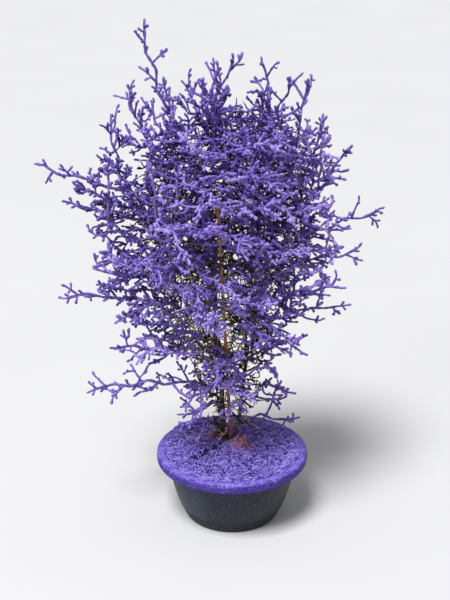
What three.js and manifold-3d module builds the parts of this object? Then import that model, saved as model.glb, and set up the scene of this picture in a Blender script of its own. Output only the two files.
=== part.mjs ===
// Corokia bonsai in a plain plastic bowl, tied to a cane.
// Millimetres, +Z up. The origin is the centre of the bowl's flat underside and
// -Y is the front. Two thin stems carry zigzag limbs, every limb bears crooked
// shoots, and every shoot ends in a club, the coated tuft of tiny leaves.

import * as THREE from 'three';
import { mergeVertices } from 'three/addons/utils/BufferGeometryUtils.js';
import Module from 'manifold-3d';

const wasm = await Module();
wasm.setup();

// Bowl
const RIM_RADIUS = 110;
const POT_HEIGHT = 102;
const RIM_HEIGHT = 15;
const RIM_WIDTH = 13.4;
const RIM_ROUND = 4;
const NECK_RADIUS = 93;
const BELLY_RADIUS = 87;
const BELLY_HEIGHT = 34;
const BASE_RADIUS = 68;
const BASE_CHAMFER = 2;
const WALL = 3;
const FLOOR = 4;
const SIDE_STEPS = 4;
const POT_SIDES = 32;
const DRAIN_HOLES = 5;
const DRAIN_RADIUS = 4.5;
const DRAIN_CIRCLE = 28;
const DRAIN_SIDES = 7;

// Compost and the mat of fibres over it
const FIT = 0.3;
const SOIL_EDGE = 91;
const SOIL_CROWN = 98.5;
const MAT_THICKNESS = 5.5;
const MAT_RINGS = 7;
const MAT_RELIEF = 1.3;
const CLUMP_PLACE = [12, -6];
const CLUMP_HEIGHT = 11;
const CLUMP_SPREAD = 7.5;
const FIBRES = 22;
const FIBRE_LENGTH = 17;
const FIBRE_RADIUS = 1.2;
const FIBRE_ARCH = 2.6;

// Stems: where each one bends, from its foot in the compost to its top
const MAIN_STEM = [
  [-10, 18, 25], [-10, 18, 112], [-15, 21, 165], [-15, 17, 230], [-26, 20, 300], [-23, 16, 360],
  [-26, 15, 402], [-34, 19, 460], [-26, 14, 520], [-31, 18, 570], [-22, 15, 606],
];
const MAIN_STEM_RADII = [4.4, 2];
const SECOND_STEM = [
  [6, 27, 30], [6, 27, 108], [13, 24, 155], [14, 20, 185], [21, 24, 235], [18, 19, 285],
  [27, 23, 340], [24, 17, 395], [34, 21, 450], [29, 16, 500], [37, 18, 545],
];
const SECOND_STEM_RADII = [3.4, 1.6];
const STEM_SIDES = 6;

// Cane and its two ties
const CANE_FOOT = [3, 14, 22];
const CANE_TOP = [-21, 14, 486];
const CANE_RADIUS = 2.4;
const CANE_JOINT = 0.5;
const CANE_JOINTS = 4;
const TIE_HEIGHTS = { tie_lower: 145, tie_upper: 400 };
const TIE_WIDTH = 5;
const TIE_THICKNESS = 1.3;
const TIE_CLEARANCE = 0.6;
const TIE_GUARD = 9;

// Limbs that show in the outline: stem, height of the root, tip, and lead, which is
// how far out the limb has gone before it turns up or down (0.5 is straight)
const OUTLINE_LIMBS = [
  ['main', 500, [-113, -30, 711], 0.72], ['main', 470, [-143, 60, 619], 0.8],
  ['main', 560, [-62, 45, 622], 0.6], ['main', 572, [-24, -24, 660], 0.8], ['main', 594, [0, 18, 661], 0.5],
  ['second', 505, [46, 50, 652], 0.62], ['second', 532, [73, -40, 650], 0.6],
  ['second', 470, [95, 12, 632], 0.88], ['second', 430, [124, 60, 572], 0.75],
  ['second', 418, [156, 35, 537], 0.6], ['second', 388, [194, -20, 470], 0.5],
  ['second', 350, [174, 40, 392], 0.42], ['second', 312, [141, -50, 376], 0.6],
  ['second', 275, [155, 15, 322], 0.5], ['second', 262, [95, -35, 276], 0.4],
  ['second', 235, [62, 60, 226], 0.4], ['second', 196, [77, -15, 199], 0.45],
  ['second', 165, [68, 32, 164], 0.45], ['second', 138, [89, 52, 122], 0.3],
  ['main', 438, [-252, -10, 527], 0.5], ['main', 385, [-165, 40, 576], 0.92],
  ['main', 415, [-226, 40, 463], 0.5], ['main', 365, [-174, -52, 410], 0.55],
  ['main', 335, [-184, 60, 352], 0.5], ['main', 300, [-228, -20, 349], 0.42],
  ['main', 232, [-165, 40, 246], 0.5], ['main', 192, [-196, -20, 208], 0.4],
  ['main', 128, [-74, -12, 152], 0.4], ['main', 170, [-56, 52, 184], 0.5],
];

// Crown: an egg that the other limbs fill, in front and behind
const CROWN_AXIS = [-14, 15];
const CROWN_HEIGHT = 430;
const CROWN_RADIUS = 170;
const CROWN_ABOVE = 215;
const CROWN_BELOW = 300;
const FILL_LIMBS = 19;
const FILL_LOWEST = 155;
const FILL_HIGHEST = 565;
const FILL_FAN = 0.9;
const FILL_ROOTS = { main: 560, second: 500 };
const LOWEST_TWIG = 113;

// Growth of a limb and of its shoots
const LIMB_STEP = 23;
const LIMB_SWING = 4;
const LIMB_ARCH = 14;
const LIMB_RADII = [2.7, 1.8];
const LIMB_SIDES = 4;
const SHOOT_STEP = 20;
const SHOOT_SWING = 3;
const SHOOT_LENGTH = 33;
const SHOOT_SHORTEST = 12;
const SHOOT_PLACE = 0.4;
const SHOOT_FOOT = 0.62;
const SHOOT_RADIUS = 1.6;
const SHOOT_SIDES = 3;
const CLUB_RADIUS = 3.4;
const CLUB_LENGTH = 13;
const ZIGZAG_TURN = Math.PI + 0.55;
const GOLDEN = 0.618034;
const TWIG_CLEARANCE = 0.9;
const TRIES = 14;

const UP = new THREE.Vector3(0, 0, 1);
const ACROSS = new THREE.Vector3(1, 0, 0);

function seeded(seed) {
  let state = Math.imul(2654435761, seed) >>> 0;
  return () => {
    state = (Math.imul(1664525, state) + 1013904223) >>> 0;
    return state / 4294967296;
  };
}

function vector([x, y, z]) {
  return new THREE.Vector3(x, y, z);
}

function mix(a, b, t) {
  return a + (b - a) * t;
}

// Solids

function solidOf(geometry) {
  geometry.deleteAttribute('normal');
  geometry.deleteAttribute('uv');
  const merged = mergeVertices(geometry, 1e-4);
  const index = merged.index.array;
  const triangles = [];
  for (let i = 0; i < index.length; i += 3) {
    const [a, b, c] = [index[i], index[i + 1], index[i + 2]];
    if (a !== b && b !== c && c !== a) triangles.push(a, b, c);
  }
  return new wasm.Manifold(new wasm.Mesh({
    numProp: 3,
    vertProperties: Float32Array.from(merged.attributes.position.array),
    triVerts: Uint32Array.from(triangles),
  }));
}

function fused(solids) {
  return solids.reduce((whole, piece) => whole.add(piece));
}

function largestBody(solid) {
  return solid.decompose().reduce((a, b) => (a.volume() >= b.volume() ? a : b));
}

function geometryOf(solid) {
  const { vertProperties, triVerts } = solid.getMesh();
  const geometry = new THREE.BufferGeometry();
  geometry.setAttribute('position', new THREE.BufferAttribute(vertProperties, 3));
  geometry.setIndex(new THREE.BufferAttribute(triVerts, 1));
  geometry.computeVertexNormals();
  return geometry;
}

// Two axes square to a direction, each one long
function crossAxes(along) {
  const helper = Math.abs(along.z) < 0.9 ? UP : ACROSS;
  const u = along.clone().cross(helper).normalize();
  const v = along.clone().cross(u);
  return [u, v];
}

// A closed tube through the points, with its own radius at each of them
function tube(points, radii, sides) {
  const rows = points.length - 1;
  const geometry = new THREE.CylinderGeometry(1, 1, 1, sides, rows);
  const frames = [];
  points.forEach((point, row) => {
    const along = new THREE.Vector3();
    if (row < rows) along.add(points[row + 1].clone().sub(point).normalize());
    if (row > 0) along.add(point.clone().sub(points[row - 1]).normalize());
    along.normalize();
    const last = row > 0 ? frames[row - 1].u : crossAxes(along)[0];
    const u = last.clone().addScaledVector(along, -last.dot(along)).normalize();
    frames.push({ u, v: along.clone().cross(u) });
  });
  const position = geometry.attributes.position;
  for (let i = 0; i < position.count; i += 1) {
    const row = Math.round((0.5 - position.getY(i)) * rows);
    const { u, v } = frames[row];
    const place = points[row].clone()
      .addScaledVector(u, position.getX(i) * radii[row])
      .addScaledVector(v, position.getZ(i) * radii[row]);
    position.setXYZ(i, place.x, place.y, place.z);
  }
  return solidOf(geometry);
}

// A body turned about the Z axis from [radius, height] pairs that start and end on it
function turned(profile, sides) {
  const points = profile.map(([radius, height]) => new THREE.Vector2(radius, height));
  const geometry = new THREE.LatheGeometry(points, sides);
  geometry.rotateX(Math.PI / 2);
  return geometry;
}

function arc(centreRadius, centreHeight, radius, from, to, steps) {
  const points = [];
  for (let i = 0; i <= steps; i += 1) {
    const angle = mix(from, to, i / steps);
    points.push([centreRadius + radius * Math.cos(angle), centreHeight + radius * Math.sin(angle)]);
  }
  return points;
}

// Bowl, compost and mat

function bowlSide(inset, foot, top) {
  const side = new THREE.QuadraticBezierCurve(
    new THREE.Vector2(BASE_RADIUS - inset, foot),
    new THREE.Vector2(BELLY_RADIUS - inset, BELLY_HEIGHT),
    new THREE.Vector2(NECK_RADIUS - inset, top),
  );
  return side.getPoints(SIDE_STEPS).map((point) => [point.x, point.y]);
}

const NECK_HEIGHT = POT_HEIGHT - RIM_HEIGHT;
const RIM_INSIDE = RIM_RADIUS - RIM_WIDTH;
const MOUTH_SLOPE = (RIM_INSIDE - (NECK_RADIUS - WALL)) / (RIM_HEIGHT - RIM_ROUND);

// Radius of the bowl's inside between its neck and the rounding of the rim
function mouthRadius(height) {
  return NECK_RADIUS - WALL + (height - NECK_HEIGHT) * MOUTH_SLOPE;
}

function bowl() {
  const top = POT_HEIGHT - RIM_ROUND;
  const profile = [
    [0, 0],
    [BASE_RADIUS - BASE_CHAMFER, 0],
    ...bowlSide(0, BASE_CHAMFER, NECK_HEIGHT),
    ...arc(RIM_RADIUS - RIM_ROUND, NECK_HEIGHT + RIM_ROUND, RIM_ROUND, -Math.PI / 2, 0, 2),
    ...arc(RIM_RADIUS - RIM_ROUND, top, RIM_ROUND, 0, Math.PI / 2, 2),
    ...arc(RIM_INSIDE + RIM_ROUND, top, RIM_ROUND, Math.PI / 2, Math.PI, 2),
    ...bowlSide(WALL, FLOOR, NECK_HEIGHT).reverse(),
    [0, FLOOR],
  ];
  let solid = solidOf(turned(profile, POT_SIDES));
  for (let i = 0; i < DRAIN_HOLES; i += 1) {
    const angle = (i + 0.5) / DRAIN_HOLES * Math.PI * 2;
    const drill = new THREE.CylinderGeometry(DRAIN_RADIUS, DRAIN_RADIUS, 4 * FLOOR, DRAIN_SIDES);
    drill.rotateX(Math.PI / 2);
    drill.translate(DRAIN_CIRCLE * Math.cos(angle), DRAIN_CIRCLE * Math.sin(angle), FLOOR / 2);
    solid = solid.subtract(solidOf(drill));
  }
  return solid;
}

// Height of the compost: a low mound that falls to its edge at the wall
function soilHeight(radius) {
  const edge = mouthRadius(SOIL_EDGE);
  return mix(SOIL_CROWN, SOIL_EDGE, Math.min(1, radius / edge) ** 2);
}

// The mound from its middle to the wall, raised by the lift
function moundProfile(lift) {
  return [0, 0.25, 0.5, 0.75, 1].map((share) => {
    const radius = (mouthRadius(SOIL_EDGE) - FIT) * share;
    return [radius, soilHeight(radius) + lift];
  });
}

function soil() {
  const profile = [
    [0, FLOOR + FIT],
    ...bowlSide(WALL + FIT, FLOOR + FIT, NECK_HEIGHT),
    ...moundProfile(0).reverse(),
  ];
  return solidOf(turned(profile, POT_SIDES));
}

// Height of the mat: the mound, its lumps and the mossy clump before the stems
function matHeight(x, y) {
  const radius = Math.hypot(x, y);
  const lumps = Math.sin(x * 0.31 + y * 0.17) * Math.cos(y * 0.29 - x * 0.12)
    + 0.6 * Math.sin(x * 0.57 - y * 0.49 + 1.3);
  const [clumpX, clumpY] = CLUMP_PLACE;
  const away = Math.hypot(x - clumpX, y - clumpY) / CLUMP_SPREAD;
  return soilHeight(radius) + MAT_THICKNESS + MAT_RELIEF * lumps
    + CLUMP_HEIGHT * Math.exp(-0.5 * away * away);
}

function mat() {
  const topEdge = SOIL_EDGE + MAT_THICKNESS;
  const rim = mouthRadius(topEdge - 2 * MAT_RELIEF) - 2 * FIT;
  const over = [];
  for (let ring = MAT_RINGS; ring >= 0; ring -= 1) {
    over.push([rim * ring / MAT_RINGS, POT_HEIGHT * 2]);
  }
  const geometry = turned([...moundProfile(FIT), ...over], POT_SIDES);
  const position = geometry.attributes.position;
  for (let i = 0; i < position.count; i += 1) {
    if (position.getZ(i) > POT_HEIGHT) {
      position.setZ(i, matHeight(position.getX(i), position.getY(i)));
    }
  }
  const random = seeded(7);
  const fibres = [];
  for (let i = 0; i < FIBRES; i += 1) {
    const away = (rim - FIBRE_LENGTH / 2 - 1) * Math.sqrt((i + 0.5) / FIBRES);
    const place = i * GOLDEN * Math.PI * 2;
    const heading = random() * Math.PI * 2;
    const curl = (random() - 0.5) * 1.6;
    const points = [-0.5, 0, 0.5].map((share) => {
      const turn = heading + curl * share;
      const x = away * Math.cos(place) + FIBRE_LENGTH * share * Math.cos(turn);
      const y = away * Math.sin(place) + FIBRE_LENGTH * share * Math.sin(turn);
      const lift = share === 0 ? FIBRE_ARCH : -FIBRE_RADIUS;
      return new THREE.Vector3(x, y, matHeight(x, y) + lift);
    });
    fibres.push(tube(points, [0.6, 1, 0.5].map((r) => r * FIBRE_RADIUS), 3));
  }
  return fused([solidOf(geometry), ...fibres]);
}

// Stems, cane and ties

function stem(bends, [footRadius, topRadius]) {
  const points = bends.map(vector);
  const radii = points.map((_, i) => mix(footRadius, topRadius, i / (points.length - 1)));
  return { points, radii };
}

const stems = { main: stem(MAIN_STEM, MAIN_STEM_RADII), second: stem(SECOND_STEM, SECOND_STEM_RADII) };
const caneFoot = vector(CANE_FOOT);
const caneTop = vector(CANE_TOP);

// Where a stem is at a height, and how thick
function stemAt({ points, radii }, height) {
  const i = points.findIndex((point, row) => row > 0 && point.z >= height);
  const share = (height - points[i - 1].z) / (points[i].z - points[i - 1].z);
  return {
    centre: points[i - 1].clone().lerp(points[i], share),
    radius: mix(radii[i - 1], radii[i], share),
  };
}

function caneAt(height) {
  return caneFoot.clone().lerp(caneTop, (height - caneFoot.z) / (caneTop.z - caneFoot.z));
}

function stemSolid({ points, radii }, growth) {
  return tube(points, radii.map((radius) => radius + growth), STEM_SIDES);
}

function caneSolid(growth) {
  const points = [caneFoot.clone()];
  const radii = [CANE_RADIUS + growth];
  const along = caneTop.clone().sub(caneFoot).normalize();
  for (let i = 1; i <= CANE_JOINTS; i += 1) {
    const middle = caneFoot.clone().lerp(caneTop, i / (CANE_JOINTS + 1));
    [-1.5, 0, 1.5].forEach((shift) => {
      points.push(middle.clone().addScaledVector(along, shift));
      radii.push(CANE_RADIUS + growth + (shift === 0 ? CANE_JOINT : 0));
    });
  }
  points.push(caneTop.clone());
  radii.push(CANE_RADIUS + growth);
  return tube(points, radii, STEM_SIDES);
}

// A loop of tie round the main stem and the cane: round at both, straight between
function tie(height) {
  const { centre, radius } = stemAt(stems.main, height);
  const cane = caneAt(height);
  const bearing = Math.atan2(cane.y - centre.y, cane.x - centre.x);
  const span = Math.hypot(cane.x - centre.x, cane.y - centre.y);
  const loop = (path, end) => {
    path.absarc(0, 0, end, Math.PI / 2, Math.PI * 1.5, false);
    path.absarc(span, 0, end, -Math.PI / 2, Math.PI / 2, false);
    path.closePath();
    return path;
  };
  const inner = Math.max(radius, CANE_RADIUS) + TIE_CLEARANCE;
  const band = loop(new THREE.Shape(), inner + TIE_THICKNESS);
  band.holes.push(loop(new THREE.Path(), inner));
  const geometry = new THREE.ExtrudeGeometry(band, { depth: TIE_WIDTH, bevelEnabled: false, curveSegments: 3 });
  geometry.translate(0, 0, -TIE_WIDTH / 2);
  geometry.rotateZ(bearing);
  geometry.translate(centre.x, centre.y, height);
  return solidOf(geometry);
}

// Growth of the crown

// Least distance between two straight runs, each from a start to an end
function distanceBetween([a, b], [c, d]) {
  const p = b.clone().sub(a);
  const q = d.clone().sub(c);
  const w = a.clone().sub(c);
  const pp = p.dot(p);
  const qq = q.dot(q);
  const pq = p.dot(q);
  const pw = p.dot(w);
  const qw = q.dot(w);
  const slack = pp * qq - pq * pq;
  let s = slack > 1e-9 ? Math.min(1, Math.max(0, (pq * qw - pw * qq) / slack)) : 0;
  const t = Math.min(1, Math.max(0, (pq * s + qw) / qq));
  s = Math.min(1, Math.max(0, (pq * t - pw) / pp));
  return w.addScaledVector(p, s).addScaledVector(q, -t).length();
}

// Straight runs of a crooked line, with the thickest radius of each
function runsOf(points, radii, owner) {
  return points.slice(1).map((point, i) => ({
    ends: [points[i], point],
    radius: Math.max(radii[i], radii[i + 1]),
    owner,
  }));
}

function isClear(runs, taken, skip) {
  return runs.every((run) => {
    const lowest = Math.min(run.ends[0].z, run.ends[1].z) - run.radius;
    if (lowest < LOWEST_TWIG) return false;
    return taken.every((other) => skip(run, other)
      || distanceBetween(run.ends, other.ends) > run.radius + other.radius + TWIG_CLEARANCE);
  });
}

// A line that follows a curve from start to end and steps aside at every bend
function crookedLine(random, start, control, end, step, swing) {
  const reach = start.distanceTo(control) + control.distanceTo(end);
  const bends = Math.max(1, Math.round(reach / step));
  const turn = random() * Math.PI * 2;
  const points = [];
  const corners = [];
  for (let i = 0; i <= bends; i += 1) {
    const t = i / bends;
    const along = control.clone().sub(start).multiplyScalar(1 - t)
      .addScaledVector(end.clone().sub(control), t).normalize();
    const [u, v] = crossAxes(along);
    const angle = turn + i * ZIGZAG_TURN;
    const corner = u.multiplyScalar(Math.cos(angle)).addScaledVector(v, Math.sin(angle));
    const shift = i === 0 ? 0 : swing * (0.7 + 0.6 * random());
    const point = start.clone().multiplyScalar((1 - t) ** 2)
      .addScaledVector(control, 2 * t * (1 - t))
      .addScaledVector(end, t * t)
      .addScaledVector(corner, shift);
    points.push(point);
    corners.push(corner);
  }
  return { points, corners };
}

function crownReach(height) {
  const scale = height > CROWN_HEIGHT ? CROWN_ABOVE : CROWN_BELOW;
  const share = (height - CROWN_HEIGHT) / scale;
  return CROWN_RADIUS * Math.sqrt(Math.max(0.05, 1 - share * share));
}

// Limbs that fill the crown in front and behind, by a rule
function fillLimbs() {
  const limbs = [];
  for (let i = 0; i < FILL_LIMBS; i += 1) {
    const share = (i + 0.5) / FILL_LIMBS;
    const root = mix(FILL_LOWEST, FILL_HIGHEST, share);
    const tipHeight = root + mix(-5, 85, share);
    const spread = FILL_FAN * (2 * ((i * GOLDEN) % 1) - 1);
    const bearing = (i % 2 === 0 ? -1 : 1) * Math.PI / 2 + spread;
    const reach = crownReach(tipHeight) * (0.86 + 0.14 * ((i * 0.37) % 1));
    const tip = [
      CROWN_AXIS[0] + reach * Math.cos(bearing),
      CROWN_AXIS[1] + reach * Math.sin(bearing),
      tipHeight,
    ];
    const stemName = i % 4 < 2 ? 'main' : 'second';
    limbs.push([stemName, Math.min(root, FILL_ROOTS[stemName]), tip, mix(0.45, 0.65, share)]);
  }
  return limbs;
}

function growLimb([stemName, rootHeight, tip, lead], number, taken) {
  const random = seeded(number);
  const owner = `limb ${number}`;
  const topRadius = LIMB_RADII[1];
  for (let attempt = 0; attempt < TRIES; attempt += 1) {
    const height = rootHeight + attempt * 1.5 * (attempt % 2 === 0 ? 1 : -1);
    const { centre, radius } = stemAt(stems[stemName], height);
    const footRadius = Math.min(LIMB_RADII[0], radius * 0.85);
    const nudge = new THREE.Vector3(random() - 0.5, random() - 0.5, random() - 0.5);
    const end = vector(tip).addScaledVector(nudge, 3 * attempt);
    const control = centre.clone().add(new THREE.Vector3(
      lead * (end.x - centre.x),
      lead * (end.y - centre.y),
      (1 - lead) * (end.z - centre.z) + LIMB_ARCH,
    ));
    const { points, corners } = crookedLine(random, centre, control, end, LIMB_STEP, LIMB_SWING);
    const last = points.length - 1;
    const radii = points.map((_, i) => mix(footRadius, topRadius, i / last));
    const runs = runsOf(points, radii, owner);
    const skip = (run, other) => other.owner === stemName && run === runs[0];
    if (isClear(runs, taken, skip)) {
      taken.push(...runs);
      return { points, corners, radii, owner, random, shoots: [] };
    }
  }
  return null;
}

// A shoot leaves the outer corner of a bend, goes its crooked way and ends in a club
function growShoot(limb, bend, taken) {
  const { points, corners, owner, random } = limb;
  const last = points.length - 1;
  const along = points[bend + 1].clone().sub(points[bend]).normalize();
  const root = points[bend].clone().lerp(points[bend + 1], SHOOT_PLACE);
  const middle = 1 - Math.abs(2 * bend / last - 0.9);
  for (let attempt = 0; attempt < TRIES; attempt += 1) {
    const lean = mix(0.75, 1.25, random());
    const roll = (random() - 0.5) * (0.8 + 0.35 * attempt);
    const size = SHOOT_LENGTH * mix(0.45, 1, middle) * (0.75 + 0.5 * random()) * (1 - 0.045 * attempt);
    const length = Math.max(SHOOT_SHORTEST, size);
    const corner = corners[bend].clone().applyAxisAngle(along, roll);
    const heading = along.clone().multiplyScalar(Math.cos(lean)).addScaledVector(corner, Math.sin(lean));
    const end = root.clone().addScaledVector(heading, length).addScaledVector(UP, 0.12 * length);
    const control = root.clone().addScaledVector(corner, 0.5 * length);
    const way = crookedLine(random, root, control, end, SHOOT_STEP, SHOOT_SWING);
    const tip = way.points[way.points.length - 1];
    const before = way.points[way.points.length - 2];
    const out = tip.clone().sub(before).normalize();
    const line = [...way.points.slice(0, -1), tip, tip.clone().addScaledVector(out, CLUB_LENGTH * 0.55)];
    line.push(tip.clone().addScaledVector(out, CLUB_LENGTH));
    const radii = line.map(() => SHOOT_RADIUS);
    radii[0] = SHOOT_FOOT * limb.radii[bend];
    radii[radii.length - 2] = CLUB_RADIUS;
    radii[radii.length - 1] = 0;
    const runs = runsOf(line, radii, owner);
    if (isClear(runs, taken, (run, other) => other.owner === owner)) {
      taken.push(...runs);
      limb.shoots.push({ points: line, radii });
      return;
    }
  }
}

function growCrown() {
  const taken = [
    ...runsOf(stems.main.points, stems.main.radii, 'main'),
    ...runsOf(stems.second.points, stems.second.radii, 'second'),
    ...runsOf([caneFoot, caneTop], [CANE_RADIUS, CANE_RADIUS + CANE_JOINT], 'cane'),
  ];
  Object.values(TIE_HEIGHTS).forEach((height) => {
    const middle = stemAt(stems.main, height).centre.lerp(caneAt(height), 0.5);
    const half = UP.clone().multiplyScalar(TIE_WIDTH / 2);
    const ends = [middle.clone().sub(half), middle.clone().add(half)];
    taken.push({ ends, radius: TIE_GUARD, owner: 'tie' });
  });
  const limbs = [...OUTLINE_LIMBS, ...fillLimbs()]
    .map((plan, i) => growLimb(plan, i + 1, taken))
    .filter((limb) => limb !== null);
  const mostBends = Math.max(...limbs.map((limb) => limb.points.length));
  for (let back = 2; back < mostBends; back += 1) {
    limbs.forEach((limb) => {
      const bend = limb.points.length - back;
      if (bend >= 1) growShoot(limb, bend, taken);
    });
  }
  return limbs;
}

// One solid for a limb with its shoots, its root cut to sit against the stems
function limbSolid(limb, standing) {
  const last = limb.points.length - 1;
  const out = limb.points[last].clone().sub(limb.points[last - 1]).normalize();
  const line = [...limb.points];
  const radii = [...limb.radii];
  [[0.55, CLUB_RADIUS], [1, 0]].forEach(([share, radius]) => {
    line.push(limb.points[last].clone().addScaledVector(out, CLUB_LENGTH * share));
    radii.push(radius);
  });
  const shoots = limb.shoots.map((shoot) => tube(shoot.points, shoot.radii, SHOOT_SIDES));
  const whole = fused([tube(line, radii, LIMB_SIDES), ...shoots]);
  return largestBody(whole.subtract(standing));
}

// Assembly

const FINISHES = {
  bowl: { color: 0x3b404c, roughness: 0.55, metalness: 0 },
  compost: { color: 0x3a2c22, roughness: 0.95, metalness: 0 },
  coated_mat: { color: 0x6e5cb5, roughness: 0.9, metalness: 0 },
  bark: { color: 0x4a3a2d, roughness: 0.85, metalness: 0 },
  cane: { color: 0x7a4e36, roughness: 0.45, metalness: 0 },
  tie: { color: 0xb9b48a, roughness: 0.6, metalness: 0 },
  coated_twig: { color: 0x8676c9, roughness: 0.9, metalness: 0 },
};

function named(name, solid, finish) {
  const mesh = new THREE.Mesh(geometryOf(solid), new THREE.MeshStandardMaterial(FINISHES[finish]));
  mesh.name = name;
  return mesh;
}

const bonsai = new THREE.Group();
const standing = fused([stemSolid(stems.main, FIT), stemSolid(stems.second, FIT)]);
const sockets = fused([standing, caneSolid(FIT)]);

bonsai.add(named('pot', bowl(), 'bowl'));
bonsai.add(named('soil', soil().subtract(sockets), 'compost'));
bonsai.add(named('ground_cover', largestBody(mat().subtract(sockets)), 'coated_mat'));
bonsai.add(named('trunk_main', stemSolid(stems.main, 0), 'bark'));
bonsai.add(named('trunk_second', stemSolid(stems.second, 0), 'bark'));
bonsai.add(named('cane', caneSolid(0), 'cane'));
Object.entries(TIE_HEIGHTS).forEach(([name, height]) => {
  bonsai.add(named(name, tie(height), 'tie'));
});
growCrown().forEach((limb, i) => {
  const name = `branch_${String(i + 1).padStart(2, '0')}`;
  bonsai.add(named(name, limbSolid(limb, standing), 'coated_twig'));
});

export default bonsai;
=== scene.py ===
import math

import bpy
import numpy as np
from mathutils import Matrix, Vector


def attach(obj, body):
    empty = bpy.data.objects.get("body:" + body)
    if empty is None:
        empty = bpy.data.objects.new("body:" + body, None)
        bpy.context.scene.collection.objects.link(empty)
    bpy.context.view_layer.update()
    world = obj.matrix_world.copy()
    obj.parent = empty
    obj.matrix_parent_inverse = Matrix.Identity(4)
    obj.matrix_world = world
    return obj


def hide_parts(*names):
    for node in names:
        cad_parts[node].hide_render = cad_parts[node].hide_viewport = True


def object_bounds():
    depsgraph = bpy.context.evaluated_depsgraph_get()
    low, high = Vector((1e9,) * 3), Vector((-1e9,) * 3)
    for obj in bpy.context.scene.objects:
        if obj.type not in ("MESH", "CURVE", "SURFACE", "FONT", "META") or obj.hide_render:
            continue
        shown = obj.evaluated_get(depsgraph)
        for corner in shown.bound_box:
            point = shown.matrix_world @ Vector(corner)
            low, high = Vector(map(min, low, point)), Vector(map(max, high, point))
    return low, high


# Corokia bonsai in a plastic bowl, its twigs and its mat of fibres covered with violet
# powder. Sizes and places are millimetres until a mesh is made. The limbs grow by the
# same rule and the same seeded numbers as their solids, and finer twigs are added.

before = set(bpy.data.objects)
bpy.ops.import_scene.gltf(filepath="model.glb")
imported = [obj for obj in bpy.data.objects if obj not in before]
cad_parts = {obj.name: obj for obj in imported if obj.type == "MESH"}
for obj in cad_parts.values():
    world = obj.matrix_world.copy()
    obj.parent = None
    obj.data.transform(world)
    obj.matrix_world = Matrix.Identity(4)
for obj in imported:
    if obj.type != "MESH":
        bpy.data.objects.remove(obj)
cad_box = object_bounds()

MM = 0.001
UP = np.array([0.0, 0.0, 1.0])
ACROSS = np.array([1.0, 0.0, 0.0])


# Camera and light

CAMERA_PLACE = (-0.0103, -1.5188, 0.9262)
CAMERA_DIP = 21.26
LENS = 70
SENSOR = 36


def link(data, name, place=(0, 0, 0), turn=(0, 0, 0)):
    thing = bpy.data.objects.new(name, data)
    thing.location = place
    thing.rotation_euler = turn
    bpy.context.scene.collection.objects.link(thing)
    return thing


def add_camera():
    data = bpy.data.cameras.new("view")
    data.lens = LENS
    data.sensor_width = SENSOR
    turn = (math.radians(90 - CAMERA_DIP), 0, 0)
    bpy.context.scene.camera = link(data, "view", CAMERA_PLACE, turn)


def add_soft_light(name, kind, place, target, size, power):
    """A studio light that faces the target; size is a disk's metres or a sun's degrees across"""
    data = bpy.data.lights.new(name, kind)
    data.energy = power
    if kind == "SUN":
        data.angle = math.radians(size)
    else:
        data.shape = "DISK"
        data.size = size
    light = link(data, name, place)
    way = light.location.copy()
    way.x, way.y, way.z = (t - p for t, p in zip(target, place))
    light.rotation_euler = way.to_track_quat("-Z", "Y").to_euler()


def add_studio():
    add_soft_light("soft_key", "SUN", (-0.4, -0.72, 1.95), (0, 0, 0.35), size=20, power=2.9)
    add_soft_light("soft_box_side", "AREA", (-1.2, -1.3, 1.0), (0, 0, 0.4), size=0.8, power=6)
    world = bpy.data.worlds.new("studio")
    world.use_nodes = True
    sky = world.node_tree.nodes["Background"]
    sky.inputs["Color"].default_value = (0.96, 0.97, 1.0, 1.0)
    sky.inputs["Strength"].default_value = 0.36
    bpy.context.scene.world = world
    bpy.context.scene.view_settings.view_transform = "Standard"


add_camera()
add_studio()


# Finishes

def paint(red, green, blue):
    """A colour of the screen, 0 to 255, as the light it stands for"""
    def light(value):
        value /= 255
        return value / 12.92 if value <= 0.04045 else ((value + 0.055) / 1.055) ** 2.4
    return (light(red), light(green), light(blue), 1.0)


class Wire:
    """An output of a finish's node; a sum on it adds the node that does the sum"""

    def __init__(self, finish, socket):
        self.finish = finish
        self.socket = socket

    def math(self, operation, *values):
        return self.finish.node("ShaderNodeMath", {"operation": operation}, dict(enumerate(values)))

    def __add__(self, other):
        return self.math("ADD", self, other)

    def __radd__(self, other):
        return self.math("ADD", other, self)

    def __sub__(self, other):
        return self.math("SUBTRACT", self, other)

    def __rsub__(self, other):
        return self.math("SUBTRACT", other, self)

    def __mul__(self, other):
        return self.math("MULTIPLY", self, other)

    def __rmul__(self, other):
        return self.math("MULTIPLY", other, self)

    def step(self, low, high):
        """0 below low, 1 above high and a soft rise between; falls where low is over high"""
        return self.finish.node(
            "ShaderNodeMapRange", {"interpolation_type": "SMOOTHSTEP"},
            {"Value": self, "From Min": low, "From Max": high, "To Min": 0.0, "To Max": 1.0})


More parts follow.
